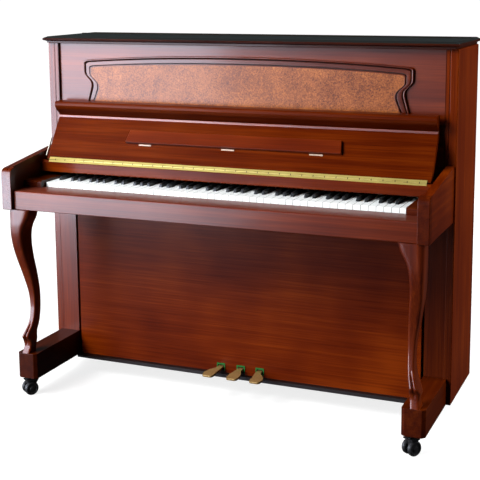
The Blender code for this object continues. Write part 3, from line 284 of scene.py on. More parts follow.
# Case: two sides, an arm at each end of the keys and a toe rail under each leg. They are
# straight, fine-pored mahogany, stained red-brown under a satin lacquer, with the grain along
# each board. The stain is painted darker as shade where the lid, a leg or the keys shade the wood.
STREAK_STRETCH = {
    "x": (0.9, 46.0, 46.0),
    "y": (46.0, 0.9, 46.0),
    "z": (46.0, 46.0, 0.9),
}
FIBRE_STRETCH = {
    "x": (5.0, 330.0, 330.0),
    "y": (330.0, 5.0, 330.0),
    "z": (330.0, 330.0, 5.0),
}
STAIN_DARK = (0.062, 0.0050, 0.0002)
STAIN_MIDDLE = (0.112, 0.0122, 0.0004)
STAIN_LIGHT = (0.198, 0.0290, 0.0012)
# Colour of the painted shade, and of the real glaze in the moulding's hollows.
GLAZE_AND_PAINTED_SHADE = (0.006, 0.0022, 0.0015)
FIBRE_SHARE = 0.30
LOOKS_ONE_WAY = (0.5, 0.9)
POST_FROM_MIDDLE = (0.283, 0.288)
POST_SHADE = 0.35
STRIP_ACROSS_SQUARED = (0.4535, 0.4575)
STRIP_LOW = (0.70, 0.74)
STRIP_SHADE = 0.55
UNDER_ARM = (0.60, 0.66)
UNDER_ARM_SHADE = 0.50
KEY_SIDE_SHADE = 0.60
RAIL_STAIN_AND_SHADE = {"left": 0.28, "right": 0.42}


def deeper(colour, depth):
    """A colour scaled by a depth, which is darker below 1."""
    return tuple(value * depth for value in colour)


def mahogany(
    name,
    along,
    depth=1.0,
    gloss=0.27,
    coat=0.22,
    level=0.40,
    streaks=0.46,
    place=(0.0, 0.0, 0.0),
    glaze_and_painted_light=None,
    glaze_and_painted_light_colour=GLAZE_AND_PAINTED_SHADE,
):
    """Stained mahogany with its grain along one axis. Depth below 1 darkens the stain, and is set
    piece by piece as painted shade. Place moves the figure on the board, and the mask colours the
    places where it is 1: a real glaze in the moulding's hollows, elsewhere painted shade, sheen and
    reflection."""
    material, shader, at = new_finish(name, coat_roughness=0.12, specular_ior_level=level)
    at = at.stretched((1.0, 1.0, 1.0), place)
    streak = at.stretched(STREAK_STRETCH[along])
    streak = streak.noise(1.0, detail=5.0, roughness=0.58, distortion=0.35)
    fibre = at.stretched(FIBRE_STRETCH[along]).noise(1.0, detail=2.0)
    cloud = at.noise(3.4, detail=2.0)
    tone = streak * streaks + fibre * FIBRE_SHARE + cloud * (1.0 - FIBRE_SHARE - streaks)
    stops = [
        (0.36, deeper(STAIN_DARK, depth)),
        (0.50, deeper(STAIN_MIDDLE, depth)),
        (0.66, deeper(STAIN_LIGHT, depth)),
    ]
    figure = tone.node("ShaderNodeValToRGB", {"stops": stops}, {"Fac": tone})
    rough = gloss + 0.08 * fibre
    lacquer = coat + 0.10 * cloud
    # The mask lays on a real glaze in the moulding's hollows, and elsewhere painted shade, sheen
    # and reflection.
    if glaze_and_painted_light:
        mask = glaze_and_painted_light(at)
        figure = mask.tint(figure, (*glaze_and_painted_light_colour, 1.0))
        rough = rough + 0.25 * mask
        lacquer = lacquer * (1.0 - mask)
    feed(shader, "Base Color", figure)
    feed(shader, "Roughness", rough)
    feed(shader, "Coat Weight", lacquer)
    feed(shader, "Normal", fibre.bump(strength=0.05, distance=0.0002))
    return material


def paint_node(name, material):
    """Gives a CAD node its finished material."""
    nodes[name].material_slots[0].material = material


def facing(at, axis):
    """How far a face looks along one axis."""
    return at.node("ShaderNodeTexCoord", {}, {}, output=1).part(axis)


def front_post(at):
    """The right arm's front post, painted darker than the rest of the arm as shade."""
    return (0.0 - at.part("Y")).step(*POST_FROM_MIDDLE) * POST_SHADE


def inner_strip(at):
    """The strip beside the upper panel, in the shade of the lid and the side's edge."""
    across = at.part("X")
    inside = 1.0 - (across * across).step(*STRIP_ACROSS_SQUARED)
    return inside * at.part("Z").step(*STRIP_LOW) * STRIP_SHADE


def shaded_edges(at):
    """The inner strip, and the side's front edge below the arm, which the leg shades."""
    front = (0.0 - facing(at, "Y")).step(*LOOKS_ONE_WAY)
    below = 1.0 - at.part("Z").step(*UNDER_ARM)
    return inner_strip(at) + front * below * UNDER_ARM_SHADE


def key_side(at):
    """The left arm's face towards the keys, painted darker as shade."""
    return facing(at, "X").step(*LOOKS_ONE_WAY) * KEY_SIDE_SHADE


# Left and right are lit and shaded copies of one stain: the arms' depths and the masks are painted
# shade.
side_wood_left = mahogany("side_wood_left", "z", 0.84, coat=0.22, level=0.35, glaze_and_painted_light=inner_strip)
side_wood_right = mahogany("side_wood_right", "z", 0.84, coat=0.0, level=0.05, glaze_and_painted_light=shaded_edges)
arm_wood_left = mahogany("arm_wood_left", "y", 0.62, gloss=0.24, coat=0.22, glaze_and_painted_light=key_side)
arm_wood_right = mahogany(
    "arm_wood_right", "y", 0.78, gloss=0.26, coat=0.02, level=0.08, glaze_and_painted_light=front_post
)
paint_node("side_left", side_wood_left)
paint_node("side_right", side_wood_right)
paint_node("arm_left", arm_wood_left)
paint_node("arm_right", arm_wood_right)
# Painted shade: both rails are stained much darker than the case, and the left one darker still.
for hand, depth in RAIL_STAIN_AND_SHADE.items():
    rail_wood = mahogany(f"rail_wood_{hand}", "y", depth, gloss=0.40, coat=0.0, level=0.10)
    paint_node(f"toe_rail_{hand}", rail_wood)

# Cabriole legs: solid mahogany, carved to a knee that swings out under the key bed and a
# foot whose lip is split into two petals. Each stands on its toe rail. The stations give a
# height, and the gaps from the rail's outer and front ends to the leg's four faces.
BACK_Y = cad_box[1][1]
TOE_OUT = 0.696
TOE_DEPTH = 0.589
LEG_STATIONS = [
    (0.6487, 0.007, 0.086, -0.028, 0.040),
    (0.6200, 0.007, 0.077, -0.028, 0.044),
    (0.5900, 0.0075, 0.0605, -0.028, 0.045),
    (0.5600, 0.008, 0.053, -0.026, 0.045),
    (0.5200, 0.010, 0.051, -0.018, 0.047),
    (0.4800, 0.014, 0.053, -0.006, 0.051),
    (0.4400, 0.021, 0.057, 0.006, 0.056),
    (0.4000, 0.028, 0.060, 0.017, 0.061),
    (0.3600, 0.036, 0.062, 0.024, 0.064),
    (0.3200, 0.040, 0.062, 0.026, 0.064),
    (0.2900, 0.041, 0.062, 0.023, 0.061),
    (0.2650, 0.039, 0.060, 0.018, 0.059),
    (0.2450, 0.035, 0.057, 0.010, 0.057),
    (0.2250, 0.028, 0.052, 0.000, 0.055),
    (0.2120, 0.022, 0.051, -0.004, 0.055),
    (0.2030, 0.020, 0.052, 0.001, 0.053),
    (0.1950, 0.018, 0.053, 0.008, 0.051),
    (0.1750, 0.021, 0.051, 0.010, 0.047),
    (0.1523, 0.017, 0.048, 0.001, 0.047),
]
LEG_STEPS = 5
LEG_RING = 72
LEG_SQUARENESS = 5.0
PETAL_Z = 0.222
PETAL_REACH = 0.040
PETAL_DEPTH = 0.0065
PETAL_HALF_WIDTH = 0.20
PETAL_FALL = 0.7


def at_depth(depth):
    """World Y of a depth that is measured from the back of the case."""
    return BACK_Y - depth


def smooth_rows(rows, steps):
    """Rows of numbers with others put between them, on a smooth curve through them all."""
    made = []
    for index in range(len(rows) - 1):
        before = rows[max(index - 1, 0)]
        here, after = rows[index], rows[index + 1]
        beyond = rows[min(index + 2, len(rows) - 1)]
        for step in range(steps):
            t = step / steps
            row = []
            for a, b, c, d in zip(before, here, after, beyond):
                square = 2 * a - 5 * b + 4 * c - d
                cube = 3 * b - a - 3 * c + d
                row.append(0.5 * (2 * b + (c - a) * t + square * t**2 + cube * t**3))
            made.append(tuple(row))
    made.append(tuple(rows[-1]))
    return made


def skin(name, rings, closed=False, sharp=50):
    """Skin over rings of points. Its ends are capped, or joined to each other when closed."""
    shape = bmesh.new()
    rows = [[shape.verts.new(point) for point in ring] for ring in rings]
    pairs = list(zip(rows, rows[1:]))
    if closed:
        pairs.append((rows[-1], rows[0]))
    else:
        shape.faces.new(rows[0])
        shape.faces.new(rows[-1])
    for near, after in pairs:
        for index in range(len(near)):
            beside = (index + 1) % len(near)
            shape.faces.new((near[index], near[beside], after[beside], after[index]))
    bmesh.ops.recalc_face_normals(shape, faces=shape.faces)
    made = mesh_object(name, shape)
    made.data.shade_smooth()
    made.data.set_sharp_from_angle(angle=math.radians(sharp))
    return made


def fit_piece(piece, material, body, slot, *replaced):
    """Finishes a piece: its material, the body it moves with and the nodes it stands for."""
    piece.data.materials.clear()
    piece.data.materials.append(material)
    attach(piece, body)
    if replaced:
        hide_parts(*replaced)


def leg_ring(side, z, outer_gap, inner_gap, front_gap, back_gap):
    """One section of a leg: a soft square with, at the foot, a hollow between two petals."""
    outer, inner = TOE_OUT - outer_gap, TOE_OUT - inner_gap
    front, back = TOE_DEPTH - front_gap, TOE_DEPTH - back_gap
    half_width, half_depth = (outer - inner) / 2, (front - back) / 2
    near_petal = max(0.0, 1.0 - abs(z - PETAL_Z) / PETAL_REACH)
    hollow = PETAL_DEPTH * near_petal**PETAL_FALL
    ring = []
    for index in range(LEG_RING):
        angle = 2 * math.pi * index / LEG_RING
        across, along = math.cos(angle), math.sin(angle)
        power = abs(across) ** LEG_SQUARENESS + abs(along) ** LEG_SQUARENESS
        reach = power ** (-1 / LEG_SQUARENESS)
        x = across * reach
        depth = along * reach
        cut = hollow * math.exp(-((x / PETAL_HALF_WIDTH) ** 2)) if depth > 0.5 else 0.0
        place_x = side * ((outer + inner) / 2 + x * half_width)
        place_y = at_depth((front + back) / 2 + depth * half_depth - cut)
        ring.append((place_x, place_y, z))
    return ring


leg_wood = mahogany("leg_wood", "z", depth=0.8, gloss=0.30, coat=0.20)
for side, hand in ((-1, "left"), (1, "right")):
    rings = [leg_ring(side, *row) for row in smooth_rows(LEG_STATIONS, LEG_STEPS)]
    fit_piece(skin(f"carved_leg_{hand}", rings), leg_wood, "case", "mahogany", f"leg_{hand}")

# Lid: two boards of the same mahogany with a rounded edge, joined by a long bronze hinge. It
# is painted darker as shade, and its top a near-black grey: a painted reflection of the dim room.
LID_TOP_PAINTED_REFLECTION = (0.0105, 0.0140, 0.0140)
LOOKS_UP = (0.55, 0.9)
BRONZE_DARK = (0.030, 0.018, 0.010)
BRONZE_LIGHT = (0.060, 0.036, 0.018)


def looking_up(at):
    """The faces that look up."""
    return facing(at, "Z").step(*LOOKS_UP)


lid_wood = mahogany(
    "lid_wood",
    "x",
    depth=0.22,
    gloss=0.30,
    coat=0.10,
    level=0.25,
    glaze_and_painted_light=looking_up,
    glaze_and_painted_light_colour=LID_TOP_PAINTED_REFLECTION,
)
paint_node("lid_rear", lid_wood)
paint_node("lid_front", lid_wood)


def blackened(name, rough, tooth, dark, light, metallic=0.0):
    """Dark bronze, paint or rubber with a little dust, over a fine tooth."""
    material, shader, at = new_finish(name, metallic=metallic)
    dust = at.noise(70.0, detail=4.0)
    feed(shader, "Base Color", dust.tint((*dark, 1.0), (*light, 1.0)))
    feed(shader, "Roughness", rough + 0.2 * dust)
    feed(shader, "Normal", at.noise(tooth, detail=2.0).bump(strength=0.10, distance=0.0003))
    return material


hinge_bronze = blackened(
    "hinge_bronze", rough=0.30, tooth=400.0, dark=BRONZE_DARK, light=BRONZE_LIGHT, metallic=0.8
)
paint_node("lid_hinge", hinge_bronze)

# Upper panel: a veneered board with an arched moulding glued on, which has shouldered corners
# and frames a field of burl. Each row of its section is a distance in from the outer edge, a
# height over the board and a radius, and its outline hangs from the underside of the lid.
LID_BOTTOM = 1.175
PANEL_FRONT = 0.2973
ARCH_POWER = 2.2
ARCH_STEPS = 20
ARCH_DROP = 0.037
SHOULDER_DROP = 0.057
EAR_X = 0.574
EAR_DROP = 0.103
NECK_X = 0.545
NECK_DROP = 0.133
FOOT_X = 0.566
FOOT_DROP = 0.210
MOULDING_LOW = 0.840
MOULDING_SECTION = [
    (0.0, 0.0, 0),
    (0.0, 0.0085, 0.0022),
    (0.0042, 0.0085, 0.0020),
    (0.0082, 0.0014, 0.0006),
    (0.0096, 0.0056, 0.0006),
    (0.0218, 0.0056, 0.0006),
    (0.0226, 0.0014, 0.0003),
    (0.0250, 0.0014, 0.0003),
    (0.0250, 0.0070, 0.0010),
    (0.0280, 0.0070, 0.0003),
    (0.0280, 0.0, 0),
]
ARCH_END_IN = 0.012
SHOULDER_SLOPE = 0.004
SHOULDER_RADIUS = 0.006
EAR_RADIUS = 0.020
NECK_RADIUS = 0.030
FOOT_RADIUS = 0.060
SHOULDER_FOLLOWS = 0.85
EAR_FOLLOWS = 0.3
NECK_FOLLOWS = 1.25
QUIRK_TOP = 0.0054
QUIRK_DEEP = 0.0032


def rounded(corners, segments=8):
    """Outline points from corners (a, b, radius), each turned by an arc of about its radius."""
    points = []
    for index, (a, b, radius) in enumerate(corners):
        if radius <= 0:
            points.append((a, b))
            continue
        corner = Vector((a, b))
        before = Vector(corners[index - 1][:2]) - corner
        after = Vector(corners[(index + 1) % len(corners)][:2]) - corner
        half = before.angle(after) / 2
        reach = min(radius / math.tan(half), 0.49 * min(before.length, after.length))
        start = corner + before.normalized() * reach
        end = corner + after.normalized() * reach
        for step in range(segments + 1):
            t = step / segments
            points.append(tuple((1 - t) ** 2 * start + 2 * t * (1 - t) * corner + t**2 * end))
    return points


def moulding_outline(inset):
    """The moulding's outline, moved in by inset: arch, shoulder, ear, neck and straight foot.
    Each corner follows the inset by its own share."""
    top = LID_BOTTOM - ARCH_DROP - inset
    shoulder = LID_BOTTOM - SHOULDER_DROP - SHOULDER_FOLLOWS * inset
    ear_z = LID_BOTTOM - EAR_DROP - EAR_FOLLOWS * inset
    neck_z = LID_BOTTOM - NECK_DROP - EAR_FOLLOWS * inset
    ear = EAR_X - inset
    arch_end = ear - ARCH_END_IN
    half = []
    for step in range(ARCH_STEPS):
        t = step / ARCH_STEPS
        half.append((t * arch_end, top - (top - shoulder) * t**ARCH_POWER))
    half += rounded(
        [
            (arch_end, shoulder, 0),
            (ear, shoulder - SHOULDER_SLOPE, SHOULDER_RADIUS),
            (ear, ear_z, EAR_RADIUS),
            (NECK_X - NECK_FOLLOWS * inset, neck_z, NECK_RADIUS),
            (FOOT_X - inset, LID_BOTTOM - FOOT_DROP, FOOT_RADIUS),
            (FOOT_X - inset, MOULDING_LOW + inset, 0),
        ]
    )
    return half + [(-x, z) for x, z in reversed(half) if x > 0]


def upright_ring(inset, height):
    """The moulding's outline as world points, at a height over the panel's face."""
    return [(x, at_depth(PANEL_FRONT + height), z) for x, z in moulding_outline(inset)]


def quirks(at):
    """The narrow hollows between the moulding's beads, where the stain has gathered."""
    top, deep = at_depth(PANEL_FRONT + QUIRK_TOP), at_depth(PANEL_FRONT + QUIRK_DEEP)
    return at.part("Y").step(top, deep)


upper_veneer = mahogany("upper_veneer", "x", depth=0.86, gloss=0.33, coat=0.36)
moulding_wood = mahogany("moulding_wood", "x", depth=0.62, gloss=0.26, coat=0.36, glaze_and_painted_light=quirks)
paint_node("upper_panel", upper_veneer)
beads = rounded(MOULDING_SECTION, 4)
moulding = skin("carved_moulding", [upright_ring(*bead) for bead in beads], closed=True, sharp=40)
fit_piece(moulding, moulding_wood, "case", "mahogany", "panel_moulding")

# Burl field: a leaf of golden brown burl veneer inside the moulding, all small curls and
# eyes, darkened towards its lower edge by painted shade.
BURL_INSET = 0.0283
BURL_THICKNESS = 0.0066
BURL_DARK = (0.046, 0.0085, 0.0014)
BURL_MIDDLE = (0.182, 0.0430, 0.0055)
BURL_LIGHT = (0.370, 0.1150, 0.0190)
BURL_SHADED = deeper(BURL_MIDDLE, 0.42)
BURL_SHADE_Z = (0.900, 0.975)
BURL_SHADE = 0.80


def burl_veneer():
    """Burl with curls, eyes and specks over soft clouds, with painted shade below."""
    material, shader, at = new_finish("burl_veneer", coat_roughness=0.14, specular_ior_level=0.35)
    curls = at.noise(120.0, detail=5.0, roughness=0.65, distortion=1.4)
    clouds = at.noise(11.0, distortion=0.8)
    eyes = at.node("ShaderNodeTexVoronoi", {"feature": "F1"}, {"Vector": at, "Scale": 190.0})
    specks = at.noise(340.0, detail=2.0, roughness=0.6)
    tone = curls * 0.40 + clouds * 0.22 + eyes * 0.14 + specks * 0.26
    stops = [(0.38, BURL_DARK), (0.50, BURL_MIDDLE), (0.64, BURL_LIGHT)]
    figure = tone.node("ShaderNodeValToRGB", {"stops": stops}, {"Fac": tone})
    # Painted shade, darker towards the burl's lower edge.
    low = (1.0 - at.part("Z").step(*BURL_SHADE_Z)) * BURL_SHADE
    feed(shader, "Base Color", low.tint(figure, (*BURL_SHADED, 1.0)))
    feed(shader, "Roughness", 0.34 + 0.08 * curls)
    feed(shader, "Coat Weight", 0.14 + 0.10 * clouds)
    feed(shader, "Normal", curls.bump(strength=0.04, distance=0.0002))
    return material


burl_rings = [upright_ring(BURL_INSET, 0.0), upright_ring(BURL_INSET, BURL_THICKNESS)]
fit_piece(skin("burl_field", burl_rings), burl_veneer(), "case", "burl", "burl_inlay")

# Lower panel, key slip, key blocks and nameboard: veneered boards with the grain along the
# keyboard. The slip's ledge is painted paler as a sheen of light, the board under the pedals
# is painted nearly black as the shade under the panel, and dark felt blocks behind the lower
# panel's ends stand in for the shade in the gaps beside it.
SLIP_LEDGE_PAINTED_SHEEN = (0.110, 0.028, 0.020)
SLIP_SHEEN_SHARE = 0.5
BLOCK_STAIN_AND_SHADE = {"left": 0.30, "right": 0.50}
BOTTOM_LIGHT = (0.010, 0.0032, 0.002)
BOTTOM_DARK = (0.005, 0.002, 0.0014)
GAP_SHADE_INNER = 0.6105
GAP_SHADE_OUTER = 0.6228
GAP_SHADE_BACK = 0.2750
GAP_SHADE_FRONT = 0.2866
GAP_SHADE_HEIGHTS = (0.110, 0.640)


def ledge_painted_sheen(at):
    """The ledge on top of the slip, half covered by a painted sheen."""
    return looking_up(at) * SLIP_SHEEN_SHARE


lower_veneer = mahogany("lower_veneer", "x", 0.98, gloss=0.30, coat=0.0, level=0.08, streaks=0.20)
slip_wood = mahogany(
    "slip_wood",
    "x",
    depth=0.8,
    gloss=0.27,
    coat=0.12,
    level=0.30,
    glaze_and_painted_light=ledge_painted_sheen,
    glaze_and_painted_light_colour=SLIP_LEDGE_PAINTED_SHEEN,
)
paint_node("lower_panel", lower_veneer)
paint_node("key_slip", slip_wood)
paint_node("nameboard", mahogany("nameboard_wood", "x", depth=0.75, coat=0.0, level=0.08))
# The key blocks are lit and shaded copies of one stain; the left one's darker stain is painted
# shade.
for hand, depth in BLOCK_STAIN_AND_SHADE.items():
    block_wood = mahogany(f"block_wood_{hand}", "x", depth, gloss=0.26, coat=0.04, level=0.2)
    paint_node(f"key_block_{hand}", block_wood)


def plain_wood(name, along, light, dark, rough=0.55):
    """Softwood with straight grain, bare or stained."""
    material, shader, at = new_finish(name)
    figure = at.stretched(STREAK_STRETCH[along])
    figure = figure.noise(1.4, detail=4.0, roughness=0.55, distortion=0.4)
    fibre = at.stretched(FIBRE_STRETCH[along]).noise(1.0, detail=2.0)
    feed(shader, "Base Color", (figure * 0.75 + fibre * 0.25).tint((*dark, 1.0), (*light, 1.0)))
    feed(shader, "Roughness", rough + 0.15 * fibre)
    feed(shader, "Normal", fibre.bump(strength=0.12, distance=0.0003))
    return material


def felt(name, dark, light):
    """Pressed wool felt with a short nap."""
    material, shader, at = new_finish(name, roughness=0.95, specular_ior_level=0.2)
    nap = at.noise(900.0, roughness=0.7)
    cloud = at.noise(60.0, detail=2.0)
    feed(shader, "Base Color", (nap * 0.6 + cloud * 0.4).tint((*dark, 1.0), (*light, 1.0)))
    feed(shader, "Normal", nap.bump(strength=0.35, distance=0.0004))
    return material


# Painted shade: the board is coloured nearly black for the shade under the lower panel.
bottom_painted_shade = plain_wood("bottom_painted_shade", "x", light=BOTTOM_LIGHT, dark=BOTTOM_DARK, rough=0.60)
paint_node("bottom_board", bottom_painted_shade)
# Painted shade: dark felt blocks fill the gaps between the lower panel's ends and the sides.
gap_shade_felt = felt("gap_shade_felt", dark=(0.006, 0.004, 0.003), light=(0.018, 0.012, 0.010))
for side, hand in ((-1, "left"), (1, "right")):
    outline = [
        (side * GAP_SHADE_INNER, at_depth(GAP_SHADE_FRONT)),
        (side * GAP_SHADE_OUTER, at_depth(GAP_SHADE_FRONT)),
        (side * GAP_SHADE_OUTER, at_depth(GAP_SHADE_BACK)),
        (side * GAP_SHADE_INNER, at_depth(GAP_SHADE_BACK)),
    ]
    ends = [[(x, y, z) for x, y in outline] for z in GAP_SHADE_HEIGHTS]
    fit_piece(skin(f"panel_stop_{hand}", ends), gap_shade_felt, "case", "caster_rubber")

# Fallboard: a veneered leaf with a rounded lip, which leans back over the keys with the narrow
# music shelf folded against it. A small bead is glued under the lip, and a strip of white felt
# beside it keeps it off the left arm. Its sections give places up the leaf and out from it.
FALL_HINGE_DEPTH = 0.4215
FALL_HINGE_Z = 0.788
FALL_LEAN = math.radians(33.1)
BEAD_HALF = 0.6590
BEAD_SECTION = [
    (0.1610, -0.0019, 0),
    (0.1610, -0.0010, 0.0006),
    (0.1672, 0.0034, 0.0012),
    (0.1690, -0.0019, 0),
]
ARM_INNER_X = 0.66936
FELT_FROM_ARM = (0.0002, 0.0022)
FELT_SECTION = [(0.015, -0.010), (0.085, -0.010), (0.085, -0.003), (0.015, -0.003)]
SHELF_FIGURE_PLACE = (0.0, 0.0, 0.4)


def leaf_place(x, up, out):
    """World place on the fallboard: up the leaf from its hinge, and out from its face."""
    depth = FALL_HINGE_DEPTH - up * math.sin(FALL_LEAN) + out * math.cos(FALL_LEAN)
    z = FALL_HINGE_Z + up * math.cos(FALL_LEAN) + out * math.sin(FALL_LEAN)
    return x, at_depth(depth), z


fall_wood = mahogany("fallboard_veneer", "x", depth=0.62, gloss=0.26, coat=0.0, level=0.05)
shelf_wood = mahogany("shelf_wood", "x", depth=0.95, gloss=0.26, place=SHELF_FIGURE_PLACE)
paint_node("fallboard", fall_wood)
paint_node("music_shelf", shelf_wood)
# The bead's stain is set paler than the rest of the case: a painted highlight along the lip.
bead_highlight_wood = mahogany("bead_highlight_wood", "x", depth=1.5, gloss=0.46, coat=0.35, level=1.0)
bead_outline = rounded(BEAD_SECTION, 4)
bead_ends = [[leaf_place(x, *point) for point in bead_outline] for x in (-BEAD_HALF, BEAD_HALF)]
fit_piece(skin("fallboard_bead", bead_ends), bead_highlight_wood, "fallboard", "mahogany")
white_felt = felt("white_felt", dark=(0.55, 0.53, 0.48), light=(0.78, 0.76, 0.70))
felt_ends = [[leaf_place(x - ARM_INNER_X, *point) for point in FELT_SECTION] for x in FELT_FROM_ARM]
fit_piece(skin("fallboard_felt_left", felt_ends), white_felt, "case", "white_keytop")

# Long hinge: polished brass in two leaves, the upper one screwed to the fallboard and the lower
# one to the nameboard with round-headed screws. Thin dark gaps part its knuckles.
BRASS_DEEP = (0.29, 0.21, 0.046)
BRASS_BRIGHT = (0.67, 0.56, 0.18)
BRASS_GAP = (0.050, 0.032, 0.012)
BARREL_EDGE = (0.0027, 0.0033)
KNUCKLES_PER_METRE = 27.2
KNUCKLE_GAP = (0.04, 0.10)
HINGE_SCREWS = 19
HINGE_SCREW_REACH = 0.612
HINGE_SCREW_UP = 0.0058
SCREW_RADIUS = 0.0017
SCREW_HEIGHT = 0.0006
SCREW_TOP = 0.7


def brass(name, along, rough, deep=BRASS_DEEP, bright=BRASS_BRIGHT, joints=None):
    """Polished brass, faintly brushed along one axis. Joints gives a mask of its dark gaps."""
    material, shader, at = new_finish(name, metallic=0.45)
    stretch = {"x": (6.0, 260.0, 260.0), "y": (260.0, 6.0, 260.0)}[along]
    brushed = at.stretched(stretch).noise(1.0)
    cloud = at.noise(22.0)
    shine = (brushed * 0.5 + cloud * 0.5).tint((*deep, 1.0), (*bright, 1.0))
    if joints:
        shine = joints(at).tint(shine, (*BRASS_GAP, 1.0))
    feed(shader, "Base Color", shine)
    feed(shader, "Roughness", rough + 0.14 * cloud)
    feed(shader, "Normal", brushed.bump(strength=0.06, distance=0.0002))
    return material


def row_tree():
    """Geometry nodes that set a shape in rows: along one step, and the whole row along another."""
    tree = bpy.data.node_groups.new("rows_of_a_shape", "GeometryNodeTree")
    tree.is_modifier = True
    kinds = {
        "Shape": "NodeSocketObject",
        "Count": "NodeSocketInt",
        "Start": "NodeSocketVector",
        "Step": "NodeSocketVector",
        "Rows": "NodeSocketInt",
        "Row Step": "NodeSocketVector",
        "Finish": "NodeSocketMaterial",
    }
    tree.interface.new_socket("Geometry", in_out="INPUT", socket_type="NodeSocketGeometry")
    tree.interface.new_socket("Geometry", in_out="OUTPUT", socket_type="NodeSocketGeometry")
    for label, kind in kinds.items():
        tree.interface.new_socket(label, in_out="INPUT", socket_type=kind)
    given = tree.nodes.new("NodeGroupInput")
    shape = tree.nodes.new("GeometryNodeObjectInfo")
    tree.links.new(given.outputs["Shape"], shape.inputs["Object"])
    geometry = shape.outputs["Geometry"]
    rows = (("Count", "Start", "Step"), ("Rows", None, "Row Step"))
    for count, start, step in rows:
        line = tree.nodes.new("GeometryNodeMeshLine")
        tree.links.new(given.outputs[count], line.inputs["Count"])
        tree.links.new(given.outputs[step], line.inputs["Offset"])
        if start:
            tree.links.new(given.outputs[start], line.inputs["Start Location"])
        placed = tree.nodes.new("GeometryNodeInstanceOnPoints")
        tree.links.new(line.outputs["Mesh"], placed.inputs["Points"])
        tree.links.new(geometry, placed.inputs["Instance"])
        realized = tree.nodes.new("GeometryNodeRealizeInstances")
        tree.links.new(placed.outputs["Instances"], realized.inputs["Geometry"])
        geometry = realized.outputs["Geometry"]
    finish = tree.nodes.new("GeometryNodeSetMaterial")
    tree.links.new(geometry, finish.inputs["Geometry"])
    tree.links.new(given.outputs["Finish"], finish.inputs["Material"])
    result = tree.nodes.new("NodeGroupOutput")
    tree.links.new(finish.outputs["Geometry"], result.inputs["Geometry"])
    return tree


ROW_TREE = row_tree()


def rows_of(
    name, shape, material, body, slot, start, step, count, row_step=(0.0, 0.0, 0.0), rows=1
):
    """Sets a small shape in rows, makes them one plain mesh and finishes it."""
    pattern = mesh_object(name + "_shape", shape)
    holder = bpy.data.objects.new(name, bpy.data.meshes.new(name))
    bpy.context.scene.collection.objects.link(holder)
    modifier = holder.modifiers.new("rows", "NODES")
    modifier.node_group = ROW_TREE
    values = {
        "Shape": pattern,
        "Count": count,
        "Start": Vector(start),
        "Step": Vector(step),
        "Rows": rows,
        "Row Step": Vector(row_step),
        "Finish": material,
    }
    for item in ROW_TREE.interface.items_tree:
        if item.in_out == "INPUT" and item.name in values:
            modifier[item.identifier] = values[item.name]
    evaluated = holder.evaluated_get(bpy.context.evaluated_depsgraph_get())
    holder.data = bpy.data.meshes.new_from_object(evaluated)
    holder.modifiers.clear()
    bpy.data.objects.remove(pattern)
    fit_piece(holder, material, body, slot)


def stud(radius, height, steps, toward, top=1.0):
    """A short round stud that stands on the origin and points one way."""
    shape = bmesh.new()
    sizes = {"radius1": radius, "radius2": radius * top, "depth": height}
    bmesh.ops.create_cone(shape, cap_ends=True, segments=steps, **sizes)
    bmesh.ops.translate(shape, vec=(0.0, 0.0, height / 2), verts=shape.verts)
    turn = Vector(toward).to_track_quat("Z", "Y").to_matrix()
    bmesh.ops.rotate(shape, matrix=turn, verts=shape.verts)
    return shape


def knuckle_gaps(at):
    """Thin gaps between the knuckles, on the hinge's barrel only."""
    away = at.part("Y") - at_depth(FALL_HINGE_DEPTH)
    above = at.part("Z") - FALL_HINGE_Z
    inner, outer = BARREL_EDGE
    barrel = 1.0 - (away * away + above * above).step(inner**2, outer**2)
    along = at.math("FRACT", at.part("X") * KNUCKLES_PER_METRE, 0.0)
    return barrel * (1.0 - along.step(*KNUCKLE_GAP))


hinge_brass = brass("hinge_brass", "x", rough=0.26, joints=knuckle_gaps)
paint_node("fallboard_hinge_upper", hinge_brass)
paint_node("fallboard_hinge_lower", hinge_brass)
leaf_out = Vector((0.0, -math.cos(FALL_LEAN), math.sin(FALL_LEAN)))
screw_step = (2 * HINGE_SCREW_REACH / (HINGE_SCREWS - 1), 0.0, 0.0)
for name, body, up in (("upper", "fallboard", HINGE_SCREW_UP), ("lower", "case", -HINGE_SCREW_UP)):
    start = leaf_place(-HINGE_SCREW_REACH, up, 0.0)
    screw = stud(SCREW_RADIUS, SCREW_HEIGHT, 12, leaf_out, SCREW_TOP)
    piece = f"hinge_screws_{name}"
    rows_of(piece, screw, hinge_brass, body, "brass", start, screw_step, HINGE_SCREWS)

# Music shelf's hinges: three short plates of paler, duller brass with a low barrel, let into
# the shelf's upper edge, on which the shelf folds out of the fallboard.
SHELF_HINGE_X = (-0.303, -0.006, 0.291)
SHELF_HINGE_HALF = 0.022
SHELF_HINGE_SECTION = [
    (0.0679, -0.0008, 0),
    (0.0679, 0.0006, 0.0003),
    (0.0695, 0.0006, 0.0006),
    (0.0695, 0.0016, 0.0006),
    (0.0715, 0.0022, 0.0012),
    (0.0731, 0.0006, 0.0008),
    (0.0715, -0.0008, 0),
]
DULL_BRASS = {"deep": (0.42, 0.30, 0.22), "bright": (0.66, 0.50, 0.40)}
shelf_hinge_brass = brass("shelf_hinge_plate", "x", rough=0.34, **DULL_BRASS)
shelf_hinge_outline = rounded(SHELF_HINGE_SECTION, 4)
for index, x in enumerate(SHELF_HINGE_X):
    ends = [
        [leaf_place(x + end * SHELF_HINGE_HALF, *point) for point in shelf_hinge_outline]
        for end in (-1, 1)
    ]
    fit_piece(skin(f"shelf_hinge_{index + 1}", ends), shelf_hinge_brass, "fallboard", "brass")

